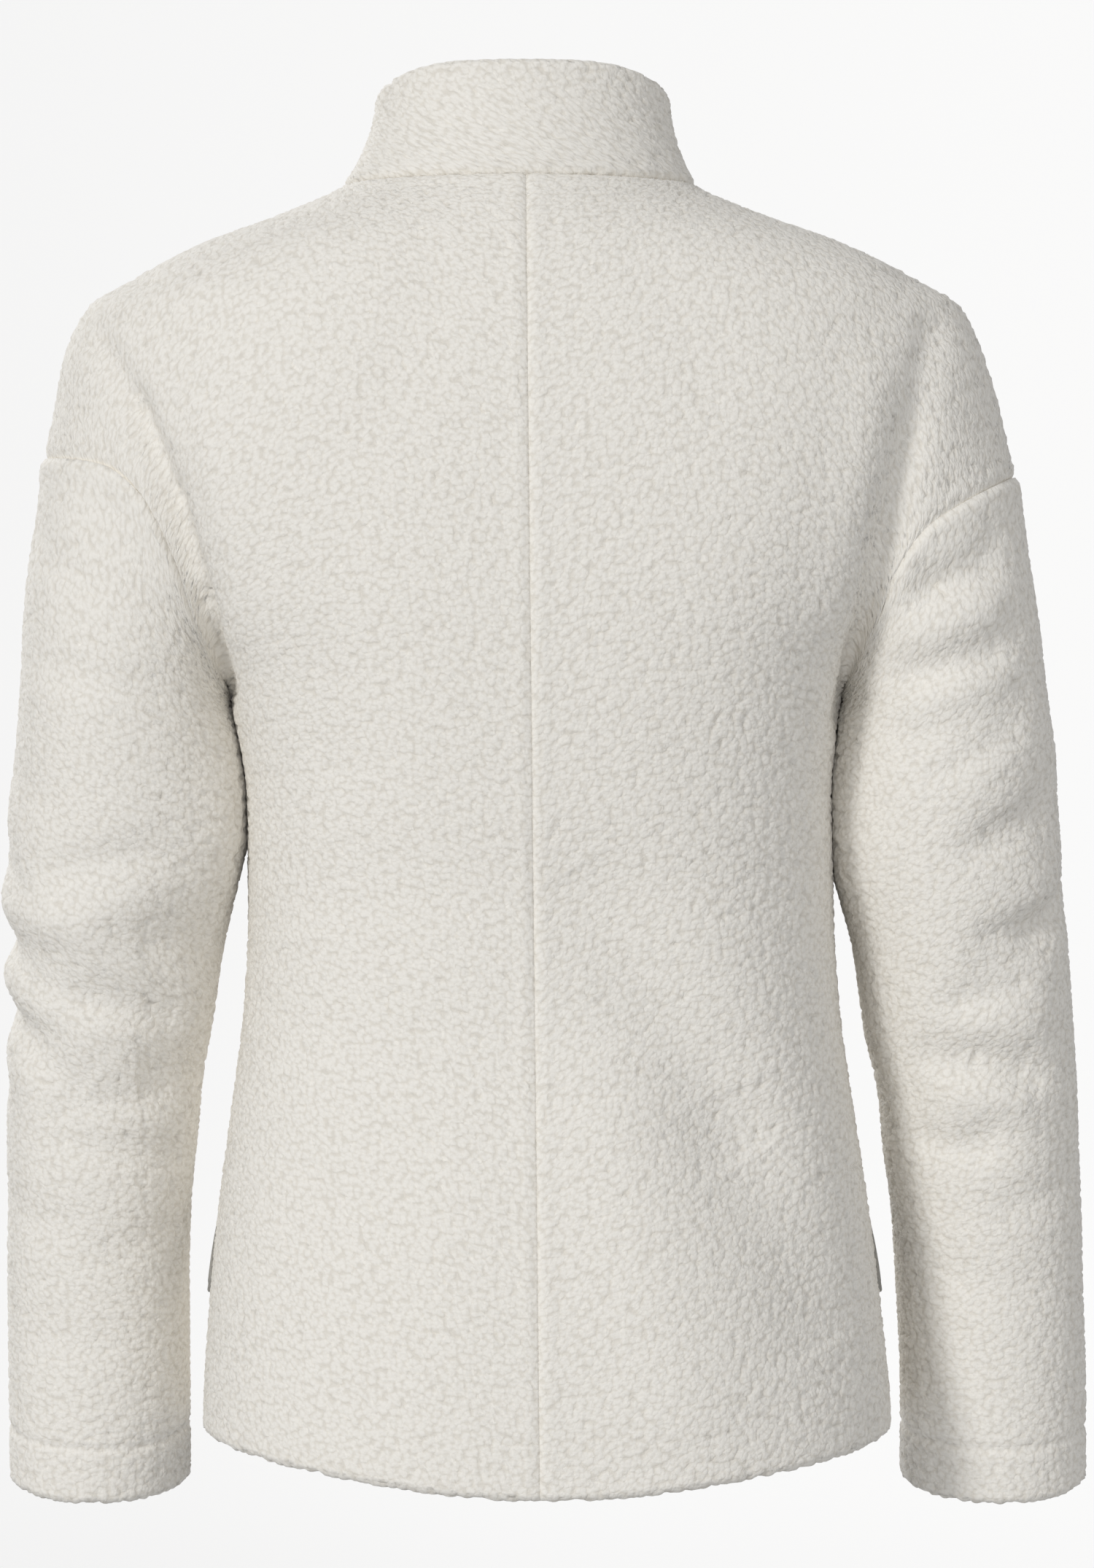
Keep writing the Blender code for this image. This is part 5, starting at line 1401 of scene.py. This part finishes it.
def fleece_material(name, shift):
    """Curly pile: packed rounded lumps of two sizes, soft hollows coloured with painted shade, and
    fine fibres.
    """
    material, tree, shader = started(name)
    link = tree.links.new
    flat = {"noise_dimensions": "2D"}
    shader.inputs["Roughness"].default_value = 0.95
    shader.inputs["Specular IOR Level"].default_value = 0.12
    shader.inputs["Sheen Weight"].default_value = 0.12
    shader.inputs["Sheen Roughness"].default_value = 0.5
    place = new_node(tree, "UVMap", {"uv_map": PILE_UV}, {})
    shifted = {
        "Location": (shift, 0.37 * shift, 0.0),
        "Scale": (LUMP_NARROWING / LUMP, LUMP_FLATTENING / LUMP, 1.0),
    }
    mapping = new_node(tree, "Mapping", {}, shifted)
    link(place.outputs["UV"], mapping.inputs["Vector"])
    spot = mapping.outputs["Vector"]
    bend = new_node(tree, "TexNoise", flat, {"Scale": 0.85, "Detail": 1.5})
    link(spot, bend.inputs["Vector"])
    centred = new_node(tree, "VectorMath", {"operation": "SUBTRACT"}, {1: (0.5, 0.5, 0.5)})
    link(bend.outputs["Color"], centred.inputs[0])
    scaled = new_node(tree, "VectorMath", {"operation": "SCALE"}, {"Scale": 0.7})
    link(centred.outputs["Vector"], scaled.inputs[0])
    bent = new_node(tree, "VectorMath", {"operation": "ADD"}, {})
    link(spot, bent.inputs[0])
    link(scaled.outputs["Vector"], bent.inputs[1])
    round_cells = {"voronoi_dimensions": "2D", "feature": "SMOOTH_F1"}
    lumps = new_node(tree, "TexVoronoi", round_cells, {"Scale": 1.0, "Smoothness": 0.25})
    sharp_cells = {"voronoi_dimensions": "2D", "feature": "F1"}
    curls = new_node(tree, "TexVoronoi", sharp_cells, {"Scale": 1.9})
    for cells in (lumps, curls):
        link(bent.outputs["Vector"], cells.inputs["Vector"])
    fibre = new_node(tree, "TexNoise", flat, {"Scale": 5.5, "Detail": 3.0, "Roughness": 0.6})
    broad = new_node(tree, "TexNoise", flat, {"Scale": 0.16, "Detail": 3.0})
    for noise in (fibre, broad):
        link(spot, noise.inputs["Vector"])
    dome = maths(tree, "MULTIPLY", lumps.outputs["Distance"], lumps.outputs["Distance"])
    dome = maths(tree, "SUBTRACT", 0.62, dome)
    small = maths(tree, "MULTIPLY", curls.outputs["Distance"], curls.outputs["Distance"])
    small = maths(tree, "MULTIPLY", small, -0.32)
    fine = maths(tree, "MULTIPLY", fibre.outputs["Fac"], 0.10)
    shade = maths(tree, "ADD", maths(tree, "ADD", dome, small), fine)
    # Painted shade: the colour runs from the darker, warmer hollows between the lumps up to the
    # lump tops; the fibre noise adds a random tone.
    colour = two_colours(tree, shade, PILE_HOLLOW_PAINTED_SHADE, PILE_TOP, (0.12, 0.55))
    link(colour, shader.inputs["Base Color"])
    wide = maths(tree, "MULTIPLY", broad.outputs["Fac"], 0.40)
    bumped(tree, shader, maths(tree, "ADD", shade, wide), 0.37, 0.0016)
    return material


def woven_material(name, colour, dark, scale):
    """Woven narrow tape."""
    material, tree, shader = started(name)
    shader.inputs["Roughness"].default_value = 0.8
    shader.inputs["Sheen Weight"].default_value = 0.2
    place = new_node(tree, "TexCoord", {}, {})
    threads = {"Scale": scale, "Distortion": 1.5, "Detail": 2.0}
    wave = new_node(tree, "TexWave", {"bands_direction": "DIAGONAL"}, threads)
    tree.links.new(place.outputs["Object"], wave.inputs["Vector"])
    mixed = two_colours(tree, wave.outputs["Fac"], dark, colour, (0.0, 1.0))
    tree.links.new(mixed, shader.inputs["Base Color"])
    bumped(tree, shader, wave.outputs["Fac"], 0.5, 0.0002)
    return material


def hard_material(name, colour, metallic, roughness):
    """Painted metal or moulded coil with faint wear."""
    material, tree, shader = started(name)
    shader.inputs["Metallic"].default_value = metallic
    place = new_node(tree, "TexCoord", {}, {})
    noise = new_node(tree, "TexNoise", {}, {"Scale": 900.0, "Detail": 3.0})
    tree.links.new(place.outputs["Object"], noise.inputs["Vector"])
    worn = {"To Min": roughness - 0.08, "To Max": roughness + 0.10}
    rough = new_node(tree, "MapRange", {}, worn)
    tree.links.new(noise.outputs["Fac"], rough.inputs["Value"])
    tree.links.new(rough.outputs["Result"], shader.inputs["Roughness"])
    dull = [WORN_SHADE * part for part in colour]
    mixed = two_colours(tree, noise.outputs["Fac"], dull, colour, (0.0, 1.0))
    tree.links.new(mixed, shader.inputs["Base Color"])
    return material


# ------------------------------------------------------------------ zip and trims
TOOTH_PITCH = 0.00150
TOOTH_HALF = 0.00042
TAPE_ROWS = 260
COLLAR_TURN_START = 0.006
COLLAR_TURN_LENGTH = 0.012
SOFT_EDGE_ANGLE = 35.0


def tube_faces(rows, corners):
    """Faces of a closed tube with flat ends."""
    faces = []
    for row in range(rows - 1):
        for corner in range(corners):
            follow = (corner + 1) % corners
            a, b = row * corners + corner, row * corners + follow
            faces.append((a, b, b + corners, a + corners))
    faces.append(tuple(range(corners)))
    faces.append(tuple(range((rows - 1) * corners, rows * corners)))
    return faces


def coil_teeth(line, hand, low, top):
    """Points and faces of every second loop of the coil, set between the other side's."""
    across, along, out = path_frames(line)
    middle = 0.5 * (low + top)
    loop = (
        (-0.0004, low),
        (-0.0006, middle),
        (-0.0003, top),
        (0.0010, top + 0.0001),
        (0.0026, top - 0.0004),
        (0.0031, middle),
        (0.0027, low),
    )
    points = []
    faces = []
    for index in range(1 if hand > 0 else 2, len(line) - 1, 2):
        base = len(points)
        for shift in (-TOOTH_HALF, TOOTH_HALF):
            for side, height in loop:
                points.append(
                    line[index]
                    + across[index] * side * hand
                    + out[index] * height
                    + along[index] * shift
                )
        for face in tube_faces(2, len(loop)):
            faces.append(tuple(base + corner for corner in face))
    return points, faces


def zip_pieces(tape_material, tooth_material):
    """Tapes and coil teeth of both zip halves."""
    fine, neck_height = zip_path()
    length = line_length(fine)
    under = FLEECE_WALL + TAPE_CLEARANCE
    for hand, side_name in ((1, "left"), (-1, "right")):
        line = evened(fine, TAPE_ROWS)
        across, _, out = path_frames(line)
        in_collar = smooth_step((line[:, 2] - neck_height + COLLAR_TURN_START) / COLLAR_TURN_LENGTH)
        top = -under - (COLLAR_WALL - FLEECE_WALL + COLLAR_EXTRA_CLEARANCE) * in_collar
        points = []
        for centre, side, outward_way, level in zip(line, across, out, top):
            for reach, height in (
                (ZIP_CENTRE_GAP, level),
                (TAPE_HALF_WIDTH, level),
                (TAPE_HALF_WIDTH, level - TAPE_THICKNESS),
                (ZIP_CENTRE_GAP, level - TAPE_THICKNESS),
            ):
                points.append(centre + side * reach * hand + outward_way * height)
        name = "zip_tape_" + side_name
        faces = tube_faces(len(line), 4)
        tape = placed(name, points, faces, False, tape_material)
        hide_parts("zip_" + side_name)
        loops = evened(fine, int(length / TOOTH_PITCH) * 2)
        points, faces = coil_teeth(loops, hand, -under, CHAIN_THICKNESS - FLEECE_WALL - SEAM_GAP)
        name = "zip_teeth_" + side_name
        teeth = placed(name, points, faces, False, tooth_material)


def softened_copy(name, node_name, body, material, bevel):
    """A CAD piece copied with softened edges."""
    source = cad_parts[node_name]
    mesh = source.data.copy()
    mesh.name = name
    mesh.materials.clear()
    mesh.materials.append(material)
    thing = bpy.data.objects.new(name, mesh)
    bpy.context.scene.collection.objects.link(thing)
    thing.matrix_world = source.matrix_world.copy()
    soft = thing.modifiers.new("soft_edges", "BEVEL")
    soft.width = bevel
    soft.segments = 2
    soft.limit_method = "ANGLE"
    soft.angle_limit = math.radians(SOFT_EDGE_ANGLE)
    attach(thing, body)
    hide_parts(node_name)


POCKET_FINE_ROWS = 160
POCKET_END_TURN = -3.0
POCKET_RISE = 0.0008
POCKET_SECTION = (
    (-0.0055, 0.0004),
    (-0.0050, 0.0019),
    (-0.0036, 0.0023),
    (-0.0016, 0.0021),
    (-0.0009, 0.0012),
    (0.0000, 0.0017),
    (0.0009, 0.0012),
    (0.0016, 0.0021),
    (0.0036, 0.0023),
    (0.0050, 0.0019),
    (0.0055, 0.0004),
)


def pocket_piece(name, node_name, hand, material):
    """Slanted pocket trim with a closed zip line down its middle."""
    count = POCKET_FINE_ROWS + 1
    part = np.linspace(0.0, 1.0, count)
    turn = np.radians(POCKET_TOP_TURN + (POCKET_END_TURN - POCKET_TOP_TURN) * part)
    height = POCKET_TOP_HEIGHT + (POCKET_LOW_HEIGHT - POCKET_TOP_HEIGHT) * part
    starts = middle_points(height)
    aim = np.stack([np.cos(turn) * hand, -np.sin(turn), np.zeros(count)], axis=1)
    distance = lambda p: panel_distance(p, hand)
    line = evened(first_exit(starts, aim, BODY_REACH, distance), POCKET_FINE_ROWS)
    along = unit(np.gradient(line, axis=0))
    side = unit(np.cross(along, outward(line, distance)))
    rings = []
    for shift, lift in POCKET_SECTION:
        row = settle(line + side * shift, distance, FINAL_ROUNDS)
        rings.append(row + outward(row, distance) * (lift + POCKET_RISE))
    points = np.stack(rings, axis=1).reshape(-1, 3)
    faces = tube_faces(count, len(POCKET_SECTION))
    thing = placed(name, points, faces, True, material)
    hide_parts(node_name)


FLOOR_HEIGHT = -1.75
FLOOR_INNER = 1.5
FLOOR_RADIUS = 4.9
BOWL_CURVE = 0.9
WALL_TOP = 1.8
BOWL_STEPS = 16
BOWL_SIDES = 96
LIGHT_SPREAD = 13.0


def stage_bowl():
    """A pale floor that rises into a wall all round."""
    profile = [(FLOOR_INNER, FLOOR_HEIGHT), (FLOOR_RADIUS, FLOOR_HEIGHT)]
    for turn in np.linspace(0.0, 0.5 * math.pi, BOWL_STEPS + 1)[1:]:
        rise = FLOOR_HEIGHT + BOWL_CURVE * (1.0 - math.cos(turn))
        profile.append((FLOOR_RADIUS + BOWL_CURVE * math.sin(turn), rise))
    profile.append((FLOOR_RADIUS + BOWL_CURVE, WALL_TOP))
    points = []
    for radius, height in profile:
        for turn in np.linspace(0.0, 2.0 * math.pi, BOWL_SIDES, endpoint=False):
            points.append((radius * math.cos(turn), radius * math.sin(turn), height))
    faces = tube_faces(len(profile), BOWL_SIDES)[:-1]
    faces[-1] = faces[-1][::-1]
    mesh = bpy.data.meshes.new("studio_bowl")
    mesh.from_pydata(points, [], faces)
    mesh.polygons.foreach_set("use_smooth", [True] * len(mesh.polygons))
    mesh.update()
    thing = bpy.data.objects.new("studio_bowl", mesh)
    bpy.context.scene.collection.objects.link(thing)
    material, _, shader = started("studio_pale")
    shader.inputs["Base Color"].default_value = (0.70, 0.70, 0.70, 1.0)
    shader.inputs["Emission Color"].default_value = (1.0, 1.0, 1.0, 1.0)
    shader.inputs["Emission Strength"].default_value = 0.34
    shader.inputs["Roughness"].default_value = 0.95
    mesh.materials.append(material)
    thing.visible_shadow = False
    thing.visible_diffuse = False


def far_light(name, direction, strength, colour):
    """A broad, soft light from far away."""
    light = bpy.data.lights.new(name, "SUN")
    light.energy = strength
    light.angle = math.radians(LIGHT_SPREAD)
    light.color = colour
    thing = bpy.data.objects.new(name, light)
    bpy.context.scene.collection.objects.link(thing)
    thing.location = [2.0 * part for part in direction]
    thing.rotation_euler = (-Vector(direction)).to_track_quat("-Z", "Y").to_euler()


# ------------------------------------------------------------------ camera and light
PIXEL = 0.000358
IMAGE_HEIGHT = 2150
CAMERA_DISTANCE = 2.70
CAMERA_X = -0.0064
CAMERA_Z = -0.2911
CAMERA_REACH = 40.0
AIR_STRENGTH = 0.44
LIGHTS = (
    ("back_fill", (-0.35, 2.30, 0.60), 0.42, (1.0, 1.0, 1.0)),
    ("key", (1.50, 1.95, 0.78), 1.15, (1.0, 0.995, 0.98)),
    ("front_fill", (1.2, -2.2, 0.95), 1.35, (1.0, 1.0, 1.0)),
)

camera_data = bpy.data.cameras.new("photo_camera")
camera = bpy.data.objects.new("photo_camera", camera_data)
bpy.context.scene.collection.objects.link(camera)
camera.location = (CAMERA_X, CAMERA_DISTANCE, CAMERA_Z)
camera.rotation_euler = Vector((0.0, -1.0, 0.0)).to_track_quat("-Z", "Y").to_euler()
camera_data.sensor_fit = "VERTICAL"
camera_data.angle = 2.0 * math.atan(0.5 * IMAGE_HEIGHT * PIXEL / CAMERA_DISTANCE)
camera_data.clip_end = CAMERA_REACH
bpy.context.scene.camera = camera

world = bpy.data.worlds.new("studio_air")
bpy.context.scene.world = world
world.use_nodes = True
air = world.node_tree.nodes["Background"]
air.inputs["Color"].default_value = (1.0, 1.0, 1.0, 1.0)
air.inputs["Strength"].default_value = AIR_STRENGTH

stage_bowl()
for light_name, direction, strength, colour in LIGHTS:
    far_light(light_name, direction, strength, colour)
bpy.context.scene.view_settings.view_transform = "Standard"

# ------------------------------------------------------------------ pieces
PATTERN_SHIFT = 17.3
# One row for each fleece piece: its node, its hand, its face, and the width, length and
# area of its cut. A sleeve and the collar have no face, and the collar has no hand.
CLOTH_CUT = (
    ("back_left", 1, 1, 0.343, 0.686, 0.143),
    ("back_right", -1, 1, 0.350, 0.688, 0.147),
    ("front_left", 1, -1, 0.359, 0.658, 0.130),
    ("front_right", -1, -1, 0.367, 0.658, 0.134),
    ("sleeve_left", 1, 0, 0.471, 0.517, 0.152),
    ("sleeve_right", -1, 0, 0.436, 0.503, 0.149),
    ("collar", 0, 0, 0.517, 0.069, 0.025),
)
for order, (piece_node, hand, face, *sizes) in enumerate(CLOTH_CUT):
    pile = fleece_material("pile_" + piece_node, PATTERN_SHIFT * (order + 1))
    piece_name = piece_node + "_pile"
    if face:
        panel_piece(piece_name, piece_node, hand, face, pile)
    elif hand:
        sleeve_piece(piece_name, piece_node, hand, pile)
    else:
        collar_piece(piece_name, piece_node, pile)

tape_material = woven_material("zip_tape_weave", (0.74, 0.72, 0.67), (0.60, 0.58, 0.54), 900.0)
tooth_material = hard_material("zip_coil", (0.70, 0.68, 0.63), 0.0, 0.45)
metal_material = hard_material("zip_paint", (0.58, 0.57, 0.54), 0.6, 0.38)
trim_material = woven_material("pocket_trim_weave", (0.40, 0.39, 0.36), (0.28, 0.27, 0.25), 700.0)
zip_pieces(tape_material, tooth_material)

softened_copy("zip_slider_body", "zip_slider", "jacket", metal_material, 0.0003)
softened_copy("pull_tab_body", "pull_tab", "pull_tab", metal_material, 0.00025)
pocket_piece("pocket_welt_left", "pocket_trim_left", 1, trim_material)
pocket_piece("pocket_welt_right", "pocket_trim_right", -1, trim_material)
